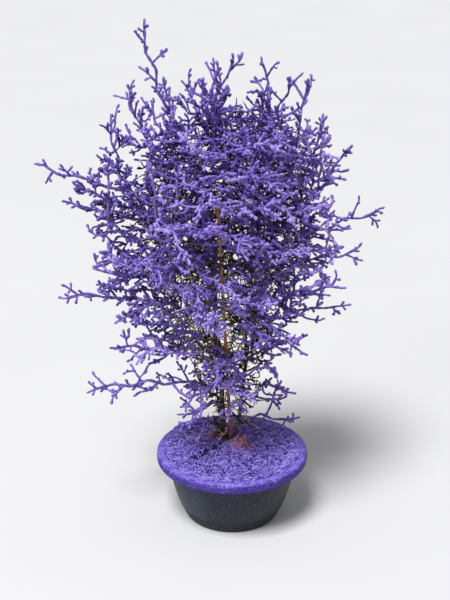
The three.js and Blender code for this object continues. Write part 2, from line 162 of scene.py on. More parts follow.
class Finish:
    """One finish of the bonsai, built from nodes; distances are millimetres"""

    def __init__(self, name):
        self.material = bpy.data.materials.new(name)
        self.material.use_nodes = True
        self.tree = self.material.node_tree
        self.tree.nodes.clear()

    def node(self, kind, settings=None, values=None, output=0):
        """The wire from a new node, whose inputs take values or other wires"""
        node = self.tree.nodes.new(kind)
        for key, setting in (settings or {}).items():
            if key == "stops":
                ramp = node.color_ramp
                while len(ramp.elements) < len(setting):
                    ramp.elements.new(1.0)
                for element, (place, colour) in zip(ramp.elements, setting):
                    element.position = place
                    element.color = colour
            else:
                setattr(node, key, setting)
        for key, value in (values or {}).items():
            if isinstance(value, Wire):
                self.tree.links.new(value.socket, node.inputs[key])
            else:
                node.inputs[key].default_value = value
        return Wire(self, node.outputs[output]) if node.outputs else None

    def place(self):
        return self.node("ShaderNodeTexCoord", output="Object")

    def ramp(self, level, stops, shades):
        """A colour that runs through the shades as a level passes the stops"""
        return self.node("ShaderNodeValToRGB", {"stops": list(zip(stops, shades))}, {"Fac": level})

    def parted(self, vector):
        """The three parts of a vector"""
        split = self.node("ShaderNodeSeparateXYZ", {}, {0: vector}).socket.node
        return [Wire(self, socket) for socket in split.outputs]

    def facing(self):
        """How far the surface faces right, back and up"""
        return self.parted(self.node("ShaderNodeNewGeometry", output="Normal"))

    def trait(self, name):
        return self.node("ShaderNodeAttribute", {"attribute_name": name}, output="Fac")

    def noise(self, grain, detail=2.0, place=None, rough=0.5):
        """Clouds with lumps of about the grain's size"""
        return self.node("ShaderNodeTexNoise", {}, {
            "Vector": place or self.place(), "Scale": 1 / (grain * MM), "Detail": detail,
            "Roughness": rough})

    def specks(self, spacing):
        """Distance from scattered points, in shares of their spacing"""
        return self.node("ShaderNodeTexVoronoi", {}, {
            "Vector": self.place(), "Scale": 1 / (spacing * MM)})

    def mix(self, share, first, second):
        return self.node("ShaderNodeMix", {"data_type": "RGBA"}, {0: share, 6: first, 7: second}, 2)

    def stretched(self, x, y, z):
        return self.node("ShaderNodeVectorMath", {"operation": "MULTIPLY"},
                         {0: self.place(), 1: (x, y, z)})

    def bump(self, height, strength, distance):
        return self.node("ShaderNodeBump", {}, {
            "Height": height, "Strength": strength, "Distance": distance * MM})

    def surface(self, values):
        shader = self.node("ShaderNodeBsdfPrincipled", {}, values)
        self.node("ShaderNodeOutputMaterial", {}, {"Surface": shader})
        return self.material


POWDER_DEEP = paint(55, 38, 102)
POWDER = paint(121, 99, 190)
POWDER_PALE = paint(178, 157, 234)
THIN_POWDER = (POWDER_DEEP, POWDER, POWDER_PALE)
THICK_POWDER = (paint(60, 42, 132), paint(127, 107, 218), paint(184, 166, 252))
POWDER_STOPS = (0.26, 0.52, 0.76)
BROWN_BARK = (paint(34, 27, 22), paint(74, 62, 46), paint(120, 106, 82))
OLIVE_BARK = (paint(78, 70, 40), paint(146, 132, 82), paint(200, 186, 136))
BARK_STOPS = (0.30, 0.50, 0.72)
FIBRE_STOPS = (0.3, 0.52, 0.75)
MOSS_STOPS = (0.3, 0.5, 0.78)


def powder_colour(finish, tint=0.0, grain=1.1, shades=THIN_POWDER):
    """Dry violet powder: grains of three shades, with soft drifts"""
    grains = finish.noise(grain, 3.0, rough=0.75)
    drifts = finish.noise(13, 2.0)
    level = grains * 0.9 + drifts * 0.4 - 0.15 + tint
    return finish.ramp(level, POWDER_STOPS, shades)


def powdered_twig():
    finish = Finish("powdered_twig")
    coat = finish.trait("coat")
    pale = finish.trait("pale")
    tint = finish.trait("tint")
    _, back, up = finish.facing()
    grains = finish.noise(1.6, 3.0, rough=0.65)
    patches = finish.noise(6, 2.0)
    lit_side = up * 0.24 - back * 0.08
    cover = coat + lit_side + (patches - 0.5) * 0.7 + (grains - 0.5) * 0.5
    mask = cover.step(0.36, 0.54)
    streaks = finish.noise(3.5, 3.0)
    level = streaks * 0.8 + tint * 0.6 + 0.08
    brown = finish.ramp(level, BARK_STOPS, BROWN_BARK)
    olive = finish.ramp(level, BARK_STOPS, OLIVE_BARK)
    bark = finish.mix(finish.trait("olive"), brown, olive)
    # Painted light and shade: the powder is painted lighter on faces that look up and darker on
    # faces that look down.
    powder = powder_colour(finish, tint * 0.5 + up * 0.13 - 0.07)
    twig = finish.mix(mask, bark, powder)
    leaf = finish.mix(patches.step(0.4, 0.6), paint(244, 240, 232), paint(206, 198, 160))
    leaf = finish.mix(finish.trait("rust"), leaf, paint(168, 150, 126))
    colour = finish.mix(pale, twig, leaf)
    knobs = finish.noise(3.2, 1.0)
    height = grains * 0.6 + knobs + mask * 0.5
    return finish.surface({
        "Base Color": colour, "Roughness": mask * 0.25 + 0.68,
        "Specular IOR Level": 0.25, "Normal": finish.bump(height, 0.8, 0.9)})


def powdered_mat():
    finish = Finish("powdered_fibres")
    coat = finish.trait("coat")
    rust = finish.trait("rust")
    tint = finish.trait("tint")
    up = finish.facing()[2]
    grains = finish.noise(1.3, 3.0, rough=0.7)
    patches = finish.noise(7, 2.0)
    cover = coat + up * 0.12 + (patches - 0.5) * 0.6 + (grains - 0.5) * 0.6
    mask = cover.step(0.40, 0.64)
    fibre = finish.ramp(finish.noise(3, 3.0) * 0.8 + tint * 0.5 + 0.1, FIBRE_STOPS,
                        (paint(50, 32, 36), paint(112, 74, 80), paint(164, 120, 118)))
    moss = finish.ramp(finish.noise(2.2, 3.0) * 0.8 + tint * 0.6 + 0.1, MOSS_STOPS,
                       (paint(80, 46, 70), paint(138, 88, 118), paint(196, 132, 132)))
    bare = finish.mix(rust, fibre, moss)
    # Painted light and shade: the powder is painted lighter on faces that look up and darker on
    # faces that look down.
    powder = powder_colour(finish, tint * 0.55 + up * 0.14 - 0.07, shades=THICK_POWDER)
    colour = finish.mix(mask, bare, powder)
    return finish.surface({
        "Base Color": colour, "Roughness": 0.92, "Specular IOR Level": 0.2,
        "Normal": finish.bump(grains + patches * 0.5, 0.6, 0.45)})


RIM_POWDER_FROM = 88.2
FIRST_GROOVE = 6.5
GROOVE_SPACING = 4.2
LAST_GROOVE_END = 21.4


def bowl_plastic():
    finish = Finish("dusty_bowl_plastic")
    up = finish.facing()[2]
    x, _, z = finish.parted(finish.place())
    across, tall = x * 1000, z * 1000
    grains = finish.noise(1.2, 4.0, rough=0.75)
    drifts = finish.noise(9, 3.0)
    ragged = (grains - 0.5) * 2.2 + (drifts - 0.5) * 3.0
    on_rim = (tall - RIM_POWDER_FROM + ragged).step(-0.6, 0.9)
    clouds = finish.noise(42, 4.0, rough=0.6)
    plastic = finish.mix(clouds.step(0.35, 0.68), paint(22, 31, 47), paint(39, 50, 69))
    # Painted shade: the plastic is painted darker towards the foot.
    plastic = finish.mix(tall.step(60, 4) * 0.5, plastic, paint(16, 22, 36))
    # Painted shade: the right of the bowl is painted darker, as if the light fell from the left.
    plastic = finish.mix(across.step(-55, 10) * 0.6, plastic, paint(16, 21, 32))
    scuffs = finish.noise(5, 4.0, place=finish.stretched(1, 1, 0.35), rough=0.7)
    plastic = finish.mix(scuffs.step(0.6, 0.76) * 0.4, plastic, paint(98, 102, 110))
    rings = finish.noise(1.6, 2.0, place=finish.stretched(0.03, 0.03, 1.0))
    plastic = finish.mix(rings.step(0.56, 0.72) * 0.28, plastic, paint(26, 29, 36))
    # Painted shade: the turned grooves are painted darker, as shade in their recesses.
    turned = tall.math("PINGPONG", tall - FIRST_GROOVE, GROOVE_SPACING / 2)
    groove = turned.step(0.7, 0.2) * tall.step(LAST_GROOVE_END, LAST_GROOVE_END - 1)
    plastic = finish.mix(groove * 0.6, plastic, paint(16, 19, 26))
    specks = finish.specks(3.8).step(0.15, 0.08) * finish.noise(11, 2.0).step(0.44, 0.54)
    plastic = finish.mix(specks * 0.85, plastic, paint(176, 174, 178))
    fallen = ((tall - 52) * 0.03).step(0.0, 1.1)
    dusty = finish.specks(3.2).step(0.13, 0.06) * finish.noise(8, 2.0).step(0.55, 0.66) * fallen
    plastic = finish.mix(dusty * 0.9, plastic, POWDER)
    sparkle = finish.noise(1.7, 2.0, rough=0.7)
    # Painted shade: the powder on the rim's side is painted darker than on its top, as if lit from
    # above. Its grains vary at random.
    powder = powder_colour(finish, up * 0.26 - 0.26 + (sparkle - 0.5) * 1.3, 2.2, THICK_POWDER)
    colour = finish.mix(on_rim, plastic, powder)
    relief = on_rim * grains * 1.4 + on_rim * 0.5 + (1 - on_rim) * scuffs * 0.12
    return finish.surface({
        "Base Color": colour, "Roughness": on_rim * 0.4 + scuffs * 0.16 + 0.42,
        "Specular IOR Level": 0.35, "Normal": finish.bump(relief, 0.9, 0.8)})


def compost():
    finish = Finish("compost")
    crumbs = finish.noise(2.5, 5.0, rough=0.7)
    colour = finish.mix(crumbs.step(0.35, 0.7), paint(28, 20, 15), paint(78, 58, 42))
    return finish.surface({
        "Base Color": colour, "Roughness": 0.95, "Normal": finish.bump(crumbs, 0.8, 1.2)})


def bark():
    finish = Finish("stem_bark")
    coat = finish.trait("coat")
    back = finish.facing()[1]
    furrows = finish.noise(2.6, 4.0, place=finish.stretched(1, 1, 0.22), rough=0.65)
    blotches = finish.noise(13, 2.0)
    grains = finish.noise(1.4, 3.0, rough=0.7)
    wood = finish.ramp(furrows * 0.75 + blotches * 0.25, BARK_STOPS,
                       (paint(30, 21, 17), paint(70, 50, 40), paint(112, 88, 68)))
    cover = coat + blotches * 0.8 + grains * 0.5 - back * 0.1 - 1.0
    mask = cover.step(-0.05, 0.2)
    colour = finish.mix(mask, wood, powder_colour(finish))
    return finish.surface({
        "Base Color": colour, "Roughness": mask * 0.2 + 0.7, "Specular IOR Level": 0.3,
        "Normal": finish.bump(furrows + mask * 0.4, 0.8, 0.6)})


def cane_skin():
    finish = Finish("cane_skin")
    coat = finish.trait("coat")
    ring = finish.trait("tint")
    streaks = finish.noise(1.6, 3.0, place=finish.stretched(1, 1, 0.06))
    blotches = finish.noise(17, 3.0)
    skin = finish.ramp(streaks * 0.7 + blotches * 0.35 - 0.03, BARK_STOPS,
                       (paint(84, 42, 22), paint(152, 84, 42), paint(196, 128, 74)))
    # Painted light: the cane is painted paler orange up in the crown, against the shade of the
    # twigs there.
    skin = finish.mix(finish.trait("pale"), skin, paint(250, 168, 92))
    skin = finish.mix(ring, skin, paint(62, 40, 30))
    grains = finish.noise(1.4, 3.0, rough=0.7)
    cover = coat + blotches * 0.9 + grains * 0.6 - 1.15
    mask = cover.step(-0.03, 0.14)
    colour = finish.mix(mask, skin, powder_colour(finish))
    return finish.surface({
        "Base Color": colour, "Roughness": mask * 0.5 + streaks * 0.1 + 0.28,
        "Normal": finish.bump(streaks + mask, 0.3, 0.3)})


def soft_tie():
    finish = Finish("soft_tie")
    creases = finish.noise(1.8, 3.0, place=finish.stretched(1, 1, 2.5))
    grains = finish.noise(1.5, 3.0, rough=0.7)
    tall = finish.parted(finish.place())[2] * 1000
    band = finish.mix(creases.step(0.35, 0.68), paint(110, 104, 80), paint(150, 142, 112))
    # Painted light: the band is painted paler up in the crown than low down, against the shade of
    # the twigs.
    band = finish.mix(tall.step(200, 380), band, paint(244, 236, 196))
    up = finish.facing()[2]
    mask = (grains + up * 0.3).step(0.56, 0.68)
    colour = finish.mix(mask, band, POWDER)
    return finish.surface({
        "Base Color": colour, "Roughness": 0.55, "Normal": finish.bump(creases, 0.5, 0.4)})


FINISHES = {
    "coated_twig": powdered_twig(),
    "coated_mat": powdered_mat(),
    "bowl": bowl_plastic(),
    "compost": compost(),
    "bark": bark(),
    "cane": cane_skin(),
    "tie": soft_tie(),
}


# Meshes

def unit(vector):
    return vector / np.linalg.norm(vector)


def mixed(a, b, share):
    return a + (b - a) * share


def eased(value, start, end):
    """0 up to the start, 1 from the end on and even between; the end may be the lower one"""
    return np.clip((value - start) / (end - start), 0, 1)


def cross_axes(along):
    """Two axes square to a direction, each one long"""
    helper = UP if abs(along[2]) < 0.9 else ACROSS
    u = unit(np.cross(along, helper))
    return u, np.cross(along, u)


def mesh_of(name, corners, faces):
    """A smooth mesh of corners in metres, linked to the scene"""
    mesh = bpy.data.meshes.new(name)
    mesh.from_pydata(corners, [], faces)
    mesh.polygons.foreach_set("use_smooth", [True] * len(faces))
    mesh.update()
    return link(mesh, name)


def set_trait(mesh, name, values):
    """A number at each corner that the finishes read"""
    layer = mesh.attributes.new(name, "FLOAT", "POINT")
    layer.data.foreach_set("value", values)


TRAITS = ("coat", "tint", "pale", "rust", "olive")


class Rods:
    """Rods of one piece, with their radii and traits, made into one mesh at the end"""

    def __init__(self):
        self.groups = {}

    def add(self, points, radii, sides=5, flat=1.0, **traits):
        points = np.asarray(points, float)
        count = len(points)
        row = [np.broadcast_to(np.asarray(traits.get(name, 0.0), float), count) for name in TRAITS]
        group = self.groups.setdefault((count, sides), [])
        group.append((points, np.broadcast_to(np.asarray(radii, float), count), flat, row))

    def arrays(self, lumps, seed):
        """Corners, traits, and each face's corners, of all the rods"""
        chance = np.random.default_rng(seed)
        corners, traits, quads, caps = [], [], [], []
        base = 0
        for (count, sides), group in sorted(self.groups.items()):
            points = np.stack([rod[0] for rod in group])
            radii = np.stack([rod[1] for rod in group])
            flats = np.array([rod[2] for rod in group])
            rows = np.stack([np.stack(rod[3], axis=1) for rod in group])
            runs = np.diff(points, axis=1)
            runs /= np.linalg.norm(runs, axis=2, keepdims=True) + 1e-12
            along = np.concatenate([runs[:, :1], runs[:, 1:] + runs[:, :-1], runs[:, -1:]], axis=1)
            along /= np.linalg.norm(along, axis=2, keepdims=True) + 1e-12
            helper = np.where(np.abs(along[:, :1, 2:]) < 0.9, UP, ACROSS)[:, 0]
            u = np.cross(along[:, 0], helper)
            angle = np.arange(sides) * 2 * math.pi / sides
            many = len(group)
            rings = np.empty((many, count, sides, 3))
            wobble = 1 + lumps * (chance.random((many, count, sides)) - 0.5)
            for i in range(count):
                u = u - along[:, i] * np.sum(u * along[:, i], axis=1, keepdims=True)
                u /= np.linalg.norm(u, axis=1, keepdims=True) + 1e-12
                v = np.cross(along[:, i], u)
                wide = np.cos(angle)[None, :, None] * u[:, None, :]
                thin = np.sin(angle)[None, :, None] * v[:, None, :] * flats[:, None, None]
                size = (radii[:, i, None] * wobble[:, i])[:, :, None]
                rings[:, i] = points[:, i, None, :] + (wide + thin) * size
            corners.append(rings.reshape(-1, 3))
            traits.append(np.repeat(rows.reshape(-1, len(TRAITS)), sides, axis=0))
            start = base + np.arange(many) * count * sides
            k = np.arange(sides)
            after = (k + 1) % sides
            low = start[:, None, None] + np.arange(count - 1)[None, :, None] * sides
            quad = np.stack([low + k, low + after, low + after + sides, low + k + sides], axis=-1)
            quads.append(quad.reshape(-1, 4))
            first = start[:, None] + k[::-1][None, :]
            last = start[:, None] + (count - 1) * sides + k[None, :]
            caps.append((sides, np.concatenate([first, last])))
            base += many * count * sides
        return np.concatenate(corners), np.concatenate(traits), quads, caps

    def made(self, name, lumps=0.0, seed=1):
        corners, traits, quads, caps = self.arrays(lumps, seed)
        loops = np.concatenate([q.ravel() for q in quads] + [c.ravel() for _, c in caps])
        sizes = np.concatenate(
            [np.full(len(q), 4) for q in quads] + [np.full(len(c), sides) for sides, c in caps])
        mesh = bpy.data.meshes.new(name)
        mesh.vertices.add(len(corners))
        mesh.vertices.foreach_set("co", (corners * MM).astype(np.float32).ravel())
        mesh.loops.add(len(loops))
        mesh.loops.foreach_set("vertex_index", loops.astype(np.int32))
        mesh.polygons.add(len(sizes))
        starts = np.concatenate([[0], np.cumsum(sizes)[:-1]])
        mesh.polygons.foreach_set("loop_start", starts.astype(np.int32))
        mesh.polygons.foreach_set("loop_total", sizes.astype(np.int32))
        mesh.polygons.foreach_set("use_smooth", np.ones(len(sizes), bool))
        mesh.update(calc_edges=True)
        for i, trait in enumerate(TRAITS):
            set_trait(mesh, trait, traits[:, i].astype(np.float32))
        return link(mesh, name)


def dressed(piece, slot, *nodes):
    """The piece with its finish, riding on the body in the place of its solids"""
    piece.data.materials.append(FINISHES[slot])
    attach(piece, "root")
    if nodes:
        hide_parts(*nodes)
    return piece


def finer(points, radii, spacing):
    """The same line with a point every few millimetres and its corners eased"""
    line, thick = [points[0]], [radii[0]]
    for i in range(1, len(points)):
        reach = np.linalg.norm(points[i] - points[i - 1])
        parts = max(1, int(reach / spacing + 0.5))
        for part in range(1, parts + 1):
            line.append(mixed(points[i - 1], points[i], part / parts))
            thick.append(mixed(radii[i - 1], radii[i], part / parts))
    line, thick = np.array(line), np.array(thick)
    smooth = line.copy()
    smooth[1:-1] = 0.25 * line[:-2] + 0.5 * line[1:-1] + 0.25 * line[2:]
    return smooth, thick


# Stems and cane, as their solids are

MAIN_STEM = [
    (-10, 18, 25), (-10, 18, 112), (-15, 21, 165), (-15, 17, 230), (-26, 20, 300), (-23, 16, 360),
    (-26, 15, 402), (-34, 19, 460), (-26, 14, 520), (-31, 18, 570), (-22, 15, 606)]
MAIN_STEM_RADII = (4.4, 2)
SECOND_STEM = [
    (6, 27, 30), (6, 27, 108), (13, 24, 155), (14, 20, 185), (21, 24, 235), (18, 19, 285),
    (27, 23, 340), (24, 17, 395), (34, 21, 450), (29, 16, 500), (37, 18, 545)]
SECOND_STEM_RADII = (3.4, 1.6)
CANE_FOOT = np.array([3.0, 14.0, 22.0])
CANE_TOP = np.array([-21.0, 14.0, 486.0])
CANE_RADIUS = 2.4
CANE_JOINT = 0.5
CANE_JOINTS = 4
TIE_HEIGHTS = {"tie_lower": 145, "tie_upper": 400}
TIE_WIDTH = 5
TIE_THICKNESS = 1.3
TIE_CLEARANCE = 0.6
TIE_GUARD = 9
TIE_BENDS = 14
TIE_CORNERS = 12


class Stem:
    def __init__(self, bends, ends):
        self.points = np.array(bends, float)
        self.radii = np.linspace(ends[0], ends[1], len(bends))

    def at(self, height):
        """Centre and radius at a height"""
        i = next(row for row in range(1, len(self.points)) if self.points[row][2] >= height)
        low, high = self.points[i - 1], self.points[i]
        share = (height - low[2]) / (high[2] - low[2])
        return mixed(low, high, share), mixed(self.radii[i - 1], self.radii[i], share)


STEMS = {
    "main": Stem(MAIN_STEM, MAIN_STEM_RADII),
    "second": Stem(SECOND_STEM, SECOND_STEM_RADII),
}


def cane_at(height):
    return mixed(CANE_FOOT, CANE_TOP, (height - CANE_FOOT[2]) / (CANE_TOP[2] - CANE_FOOT[2]))


# Growth of the limbs, as their solids grow

OUTLINE_LIMBS = [
    ("main", 500, (-113, -30, 711), 0.72), ("main", 470, (-143, 60, 619), 0.8),
    ("main", 560, (-62, 45, 622), 0.6), ("main", 572, (-24, -24, 660), 0.8),
    ("main", 594, (0, 18, 661), 0.5), ("second", 505, (46, 50, 652), 0.62),
    ("second", 532, (73, -40, 650), 0.6), ("second", 470, (95, 12, 632), 0.88),
    ("second", 430, (124, 60, 572), 0.75), ("second", 418, (156, 35, 537), 0.6),
    ("second", 388, (194, -20, 470), 0.5), ("second", 350, (174, 40, 392), 0.42),
    ("second", 312, (141, -50, 376), 0.6), ("second", 275, (155, 15, 322), 0.5),
    ("second", 262, (95, -35, 276), 0.4), ("second", 235, (62, 60, 226), 0.4),
    ("second", 196, (77, -15, 199), 0.45), ("second", 165, (68, 32, 164), 0.45),
    ("second", 138, (89, 52, 122), 0.3), ("main", 438, (-252, -10, 527), 0.5),
    ("main", 385, (-165, 40, 576), 0.92), ("main", 415, (-226, 40, 463), 0.5),
    ("main", 365, (-174, -52, 410), 0.55), ("main", 335, (-184, 60, 352), 0.5),
    ("main", 300, (-228, -20, 349), 0.42), ("main", 232, (-165, 40, 246), 0.5),
    ("main", 192, (-196, -20, 208), 0.4), ("main", 128, (-74, -12, 152), 0.4),
    ("main", 170, (-56, 52, 184), 0.5)]

CROWN_AXIS = (-14, 15)
CROWN_HEIGHT = 430
CROWN_RADIUS = 170
CROWN_ABOVE = 215
CROWN_BELOW = 300
FILL_LIMBS = 19
FILL_LOWEST = 155
FILL_HIGHEST = 565
FILL_FAN = 0.9
FILL_ROOTS = {"main": 560, "second": 500}
LOWEST_TWIG = 113

LIMB_STEP = 23
LIMB_SWING = 4
LIMB_ARCH = 14
LIMB_RADII = (2.7, 1.8)
SHOOT_STEP = 20
SHOOT_SWING = 3
SHOOT_LENGTH = 33
SHOOT_SHORTEST = 12
SHOOT_PLACE = 0.4
SHOOT_FOOT = 0.62
SHOOT_RADIUS = 1.6
CLUB_RADIUS = 3.4
CLUB_LENGTH = 13
ZIGZAG_TURN = math.pi + 0.55
GOLDEN = 0.618034
TWIG_CLEARANCE = 0.9
TRIES = 14
MOST_RUNS = 8000


def seeded(seed):
    """The solids' own chances, so that each limb bends as its solid does"""
    state = (2654435761 * seed) % 2 ** 32

    def chance():
        nonlocal state
        state = (1664525 * state + 1013904223) % 2 ** 32
        return state / 2 ** 32
    return chance


class Taken:
    """Straight runs that hold room in the crown"""

    def __init__(self):
        self.count = 0
        self.start = np.zeros((MOST_RUNS, 3))
        self.end = np.zeros((MOST_RUNS, 3))
        self.radius = np.zeros(MOST_RUNS)
        self.owner = np.zeros(MOST_RUNS, int)

    def add(self, runs, owner):
        for start, end, radius in runs:
            i = self.count
            self.start[i], self.end[i], self.radius[i], self.owner[i] = start, end, radius, owner
            self.count += 1

    def near(self, run, skipped):
        """Whether a run comes too close to one that isn't the skipped owner's"""
        a, b, radius = run
        n = self.count
        c, d = self.start[:n], self.end[:n]
        p = b - a
        q = d - c
        w = a - c
        pp = p @ p
        qq = np.sum(q * q, axis=1)
        pq = q @ p
        pw = w @ p
        qw = np.sum(q * w, axis=1)
        slack = pp * qq - pq * pq
        safe = np.where(slack > 1e-9, slack, 1.0)
        s = np.where(slack > 1e-9, np.clip((pq * qw - pw * qq) / safe, 0, 1), 0)
        t = np.clip((pq * s + qw) / qq, 0, 1)
        s = np.clip((pq * t - pw) / pp, 0, 1)
        gap = np.linalg.norm(w + p * s[:, None] - q * t[:, None], axis=1)
        close = gap <= radius + self.radius[:n] + TWIG_CLEARANCE
        return bool(np.any(close & (self.owner[:n] != skipped)))


NOBODY, MAIN_OWNER, SECOND_OWNER, CANE_OWNER, TIE_OWNER = -9, -1, -2, -3, -4
STEM_OWNERS = {"main": MAIN_OWNER, "second": SECOND_OWNER}


def runs_of(points, radii):
    return [(points[i], points[i + 1], max(radii[i], radii[i + 1])) for i in range(len(points) - 1)]


def is_clear(runs, taken, skipped):
    for run, owner in zip(runs, skipped):
        if min(run[0][2], run[1][2]) - run[2] < LOWEST_TWIG or taken.near(run, owner):
            return False
    return True


def crooked_line(chance, start, control, end, step, swing):
    """A line that follows a curve and steps aside at every bend"""
    reach = np.linalg.norm(start - control) + np.linalg.norm(control - end)
    bends = max(1, math.floor(reach / step + 0.5))
    turn = chance() * math.pi * 2
    points, corners = [], []
    for i in range(bends + 1):
        t = i / bends
        u, v = cross_axes(unit((control - start) * (1 - t) + (end - control) * t))
        angle = turn + i * ZIGZAG_TURN
        corner = u * math.cos(angle) + v * math.sin(angle)
        shift = 0 if i == 0 else swing * (0.7 + 0.6 * chance())
        on_curve = start * (1 - t) ** 2 + control * 2 * t * (1 - t) + end * t * t
        points.append(on_curve + corner * shift)
        corners.append(corner)
    return points, corners


def crown_reach(height):
    scale = CROWN_ABOVE if height > CROWN_HEIGHT else CROWN_BELOW
    share = (height - CROWN_HEIGHT) / scale
    return CROWN_RADIUS * math.sqrt(max(0.05, 1 - share * share))


def fill_limbs():
    limbs = []
    for i in range(FILL_LIMBS):
        share = (i + 0.5) / FILL_LIMBS
        root = mixed(FILL_LOWEST, FILL_HIGHEST, share)
        tip_height = root + mixed(-5, 85, share)
        spread = FILL_FAN * (2 * ((i * GOLDEN) % 1) - 1)
        bearing = (-1 if i % 2 == 0 else 1) * math.pi / 2 + spread
        reach = crown_reach(tip_height) * (0.86 + 0.14 * ((i * 0.37) % 1))
        tip = (CROWN_AXIS[0] + reach * math.cos(bearing),
               CROWN_AXIS[1] + reach * math.sin(bearing), tip_height)
        stem = "main" if i % 4 < 2 else "second"
        limbs.append((stem, min(root, FILL_ROOTS[stem]), tip, mixed(0.45, 0.65, share)))
    return limbs


def grow_limb(plan, number, taken):
    stem, root_height, tip, lead = plan
    chance = seeded(number)
    for attempt in range(TRIES):
        height = root_height + attempt * 1.5 * (1 if attempt % 2 == 0 else -1)
        centre, radius = STEMS[stem].at(height)
        foot = min(LIMB_RADII[0], radius * 0.85)
        nudge = np.array([chance() - 0.5, chance() - 0.5, chance() - 0.5])
        end = np.array(tip, float) + nudge * 3 * attempt
        gap = end - centre
        control = centre + np.array([lead * gap[0], lead * gap[1], (1 - lead) * gap[2] + LIMB_ARCH])
        points, corners = crooked_line(chance, centre, control, end, LIMB_STEP, LIMB_SWING)
        radii = list(np.linspace(foot, LIMB_RADII[1], len(points)))
        runs = runs_of(points, radii)
        skipped = [STEM_OWNERS[stem]] + [NOBODY] * (len(runs) - 1)
        if is_clear(runs, taken, skipped):
            taken.add(runs, number)
            return {"points": points, "corners": corners, "radii": radii, "owner": number,
                    "chance": chance, "shoots": []}
    return None


def turned_about(vector, axis, angle):
    return (vector * math.cos(angle) + np.cross(axis, vector) * math.sin(angle)
            + axis * (axis @ vector) * (1 - math.cos(angle)))


def grow_shoot(limb, bend, taken):
    points, chance = limb["points"], limb["chance"]
    last = len(points) - 1
    along = unit(points[bend + 1] - points[bend])
    root = mixed(points[bend], points[bend + 1], SHOOT_PLACE)
    middle = 1 - abs(2 * bend / last - 0.9)
    for attempt in range(TRIES):
        lean = mixed(0.75, 1.25, chance())
        roll = (chance() - 0.5) * (0.8 + 0.35 * attempt)
        size = (SHOOT_LENGTH * mixed(0.45, 1, middle) * (0.75 + 0.5 * chance())
                * (1 - 0.045 * attempt))
        length = max(SHOOT_SHORTEST, size)
        corner = turned_about(limb["corners"][bend], along, roll)
        heading = along * math.cos(lean) + corner * math.sin(lean)
        end = root + heading * length + UP * 0.12 * length
        control = root + corner * 0.5 * length
        way, _ = crooked_line(chance, root, control, end, SHOOT_STEP, SHOOT_SWING)
        out = unit(way[-1] - way[-2])
        line = way + [way[-1] + out * CLUB_LENGTH * 0.55, way[-1] + out * CLUB_LENGTH]
        radii = [SHOOT_RADIUS] * len(line)
        radii[0] = SHOOT_FOOT * limb["radii"][bend]
        radii[-2] = CLUB_RADIUS
        radii[-1] = 0
        runs = runs_of(line, radii)
        if is_clear(runs, taken, [limb["owner"]] * len(runs)):
            taken.add(runs, limb["owner"])
            limb["shoots"].append({"points": line, "radii": radii})
            return


def grow_crown():
    taken = Taken()
    for name, stem in STEMS.items():
        taken.add(runs_of(stem.points, stem.radii), STEM_OWNERS[name])
    taken.add([(CANE_FOOT, CANE_TOP, CANE_RADIUS + CANE_JOINT)], CANE_OWNER)
    for height in TIE_HEIGHTS.values():
        middle = mixed(STEMS["main"].at(height)[0], cane_at(height), 0.5)
        half = UP * TIE_WIDTH / 2
        taken.add([(middle - half, middle + half, TIE_GUARD)], TIE_OWNER)
    plans = OUTLINE_LIMBS + fill_limbs()
    limbs = [grow_limb(plan, i + 1, taken) for i, plan in enumerate(plans)]
    limbs = [limb for limb in limbs if limb is not None]
    most_bends = max(len(limb["points"]) for limb in limbs)
    for back in range(2, most_bends):
        for limb in limbs:
            bend = len(limb["points"]) - back
            if bend >= 1:
                grow_shoot(limb, bend, taken)
    return limbs


# Finer twigs of the crown

# Sides of the dense crown as the front shows them: height, left edge, right edge
CROWN_SIDES = np.array([
    (100, -24, 22), (140, -32, 28), (180, -42, 34), (222, -58, 40), (250, -104, 50),
    (285, -148, 70), (329, -165, 102), (404, -192, 134), (476, -214, 142), (546, -170, 138),
    (600, -134, 112), (640, -105, 74), (672, -45, 15)])
CROWN_DEEP = 0.85
CROWN_TOP = 672
ROUNDED_FROM = 535
ROUNDED_WITHIN = 90
FRONT_DEPTH = 130
BARE_REACH = 82
ROOM_MARGIN = 10
ROOM_ABOVE = 8
LOWEST_FINE_TWIG = 122
FULL_TURN = 6.283


def how_far_out(point):
    """0 on the crown's axis, 1 at the edge of its dense part, more outside"""
    left = np.interp(point[2], CROWN_SIDES[:, 0], CROWN_SIDES[:, 1])
    right = np.interp(point[2], CROWN_SIDES[:, 0], CROWN_SIDES[:, 2])
    half = (right - left) / 2
    x = (point[0] - (left + right) / 2) / half
    y = (point[1] - CROWN_AXIS[1]) / (half * CROWN_DEEP)
    above = max(0.0, (point[2] - ROUNDED_FROM) / ROUNDED_WITHIN)
    return math.sqrt(x * x + y * y + above * above)


def in_front(y):
    """How far a place is before the crown's axis; 1 at the depth of the foremost twigs"""
    return (CROWN_AXIS[1] - y) / FRONT_DEPTH


def coat_at(point):
    """How much powder a twig holds there: most outside and in front, least within"""
    out = how_far_out(point)
    front = np.clip(in_front(point[1]), -1, 1)
    low = eased(point[2], 440, 280)
    inner_low = low * max(0.0, 1 - math.hypot(point[0], point[1] - CROWN_AXIS[1]) / BARE_REACH)
    high = eased(point[2], 470, 590)
    return float(np.clip(0.14 + 0.66 * out + 0.2 * front - 1.1 * inner_low + 0.3 * high, 0.0, 1.0))


def painted_light_on_right(point):
    """How far a place is in the upper right of the crown, where painted light makes the twigs paler
    against the shade there
    """
    return eased(point[0], 40, 110) * eased(point[2], 250, 350)


# Heights between which the cane is seen from the front, and how far twigs keep from it there
CANE_WINDOWS = ((112, 150), (172, 198), (256, 290), (368, 386), (400, 428), (442, 466))
CORRIDOR = 3.2


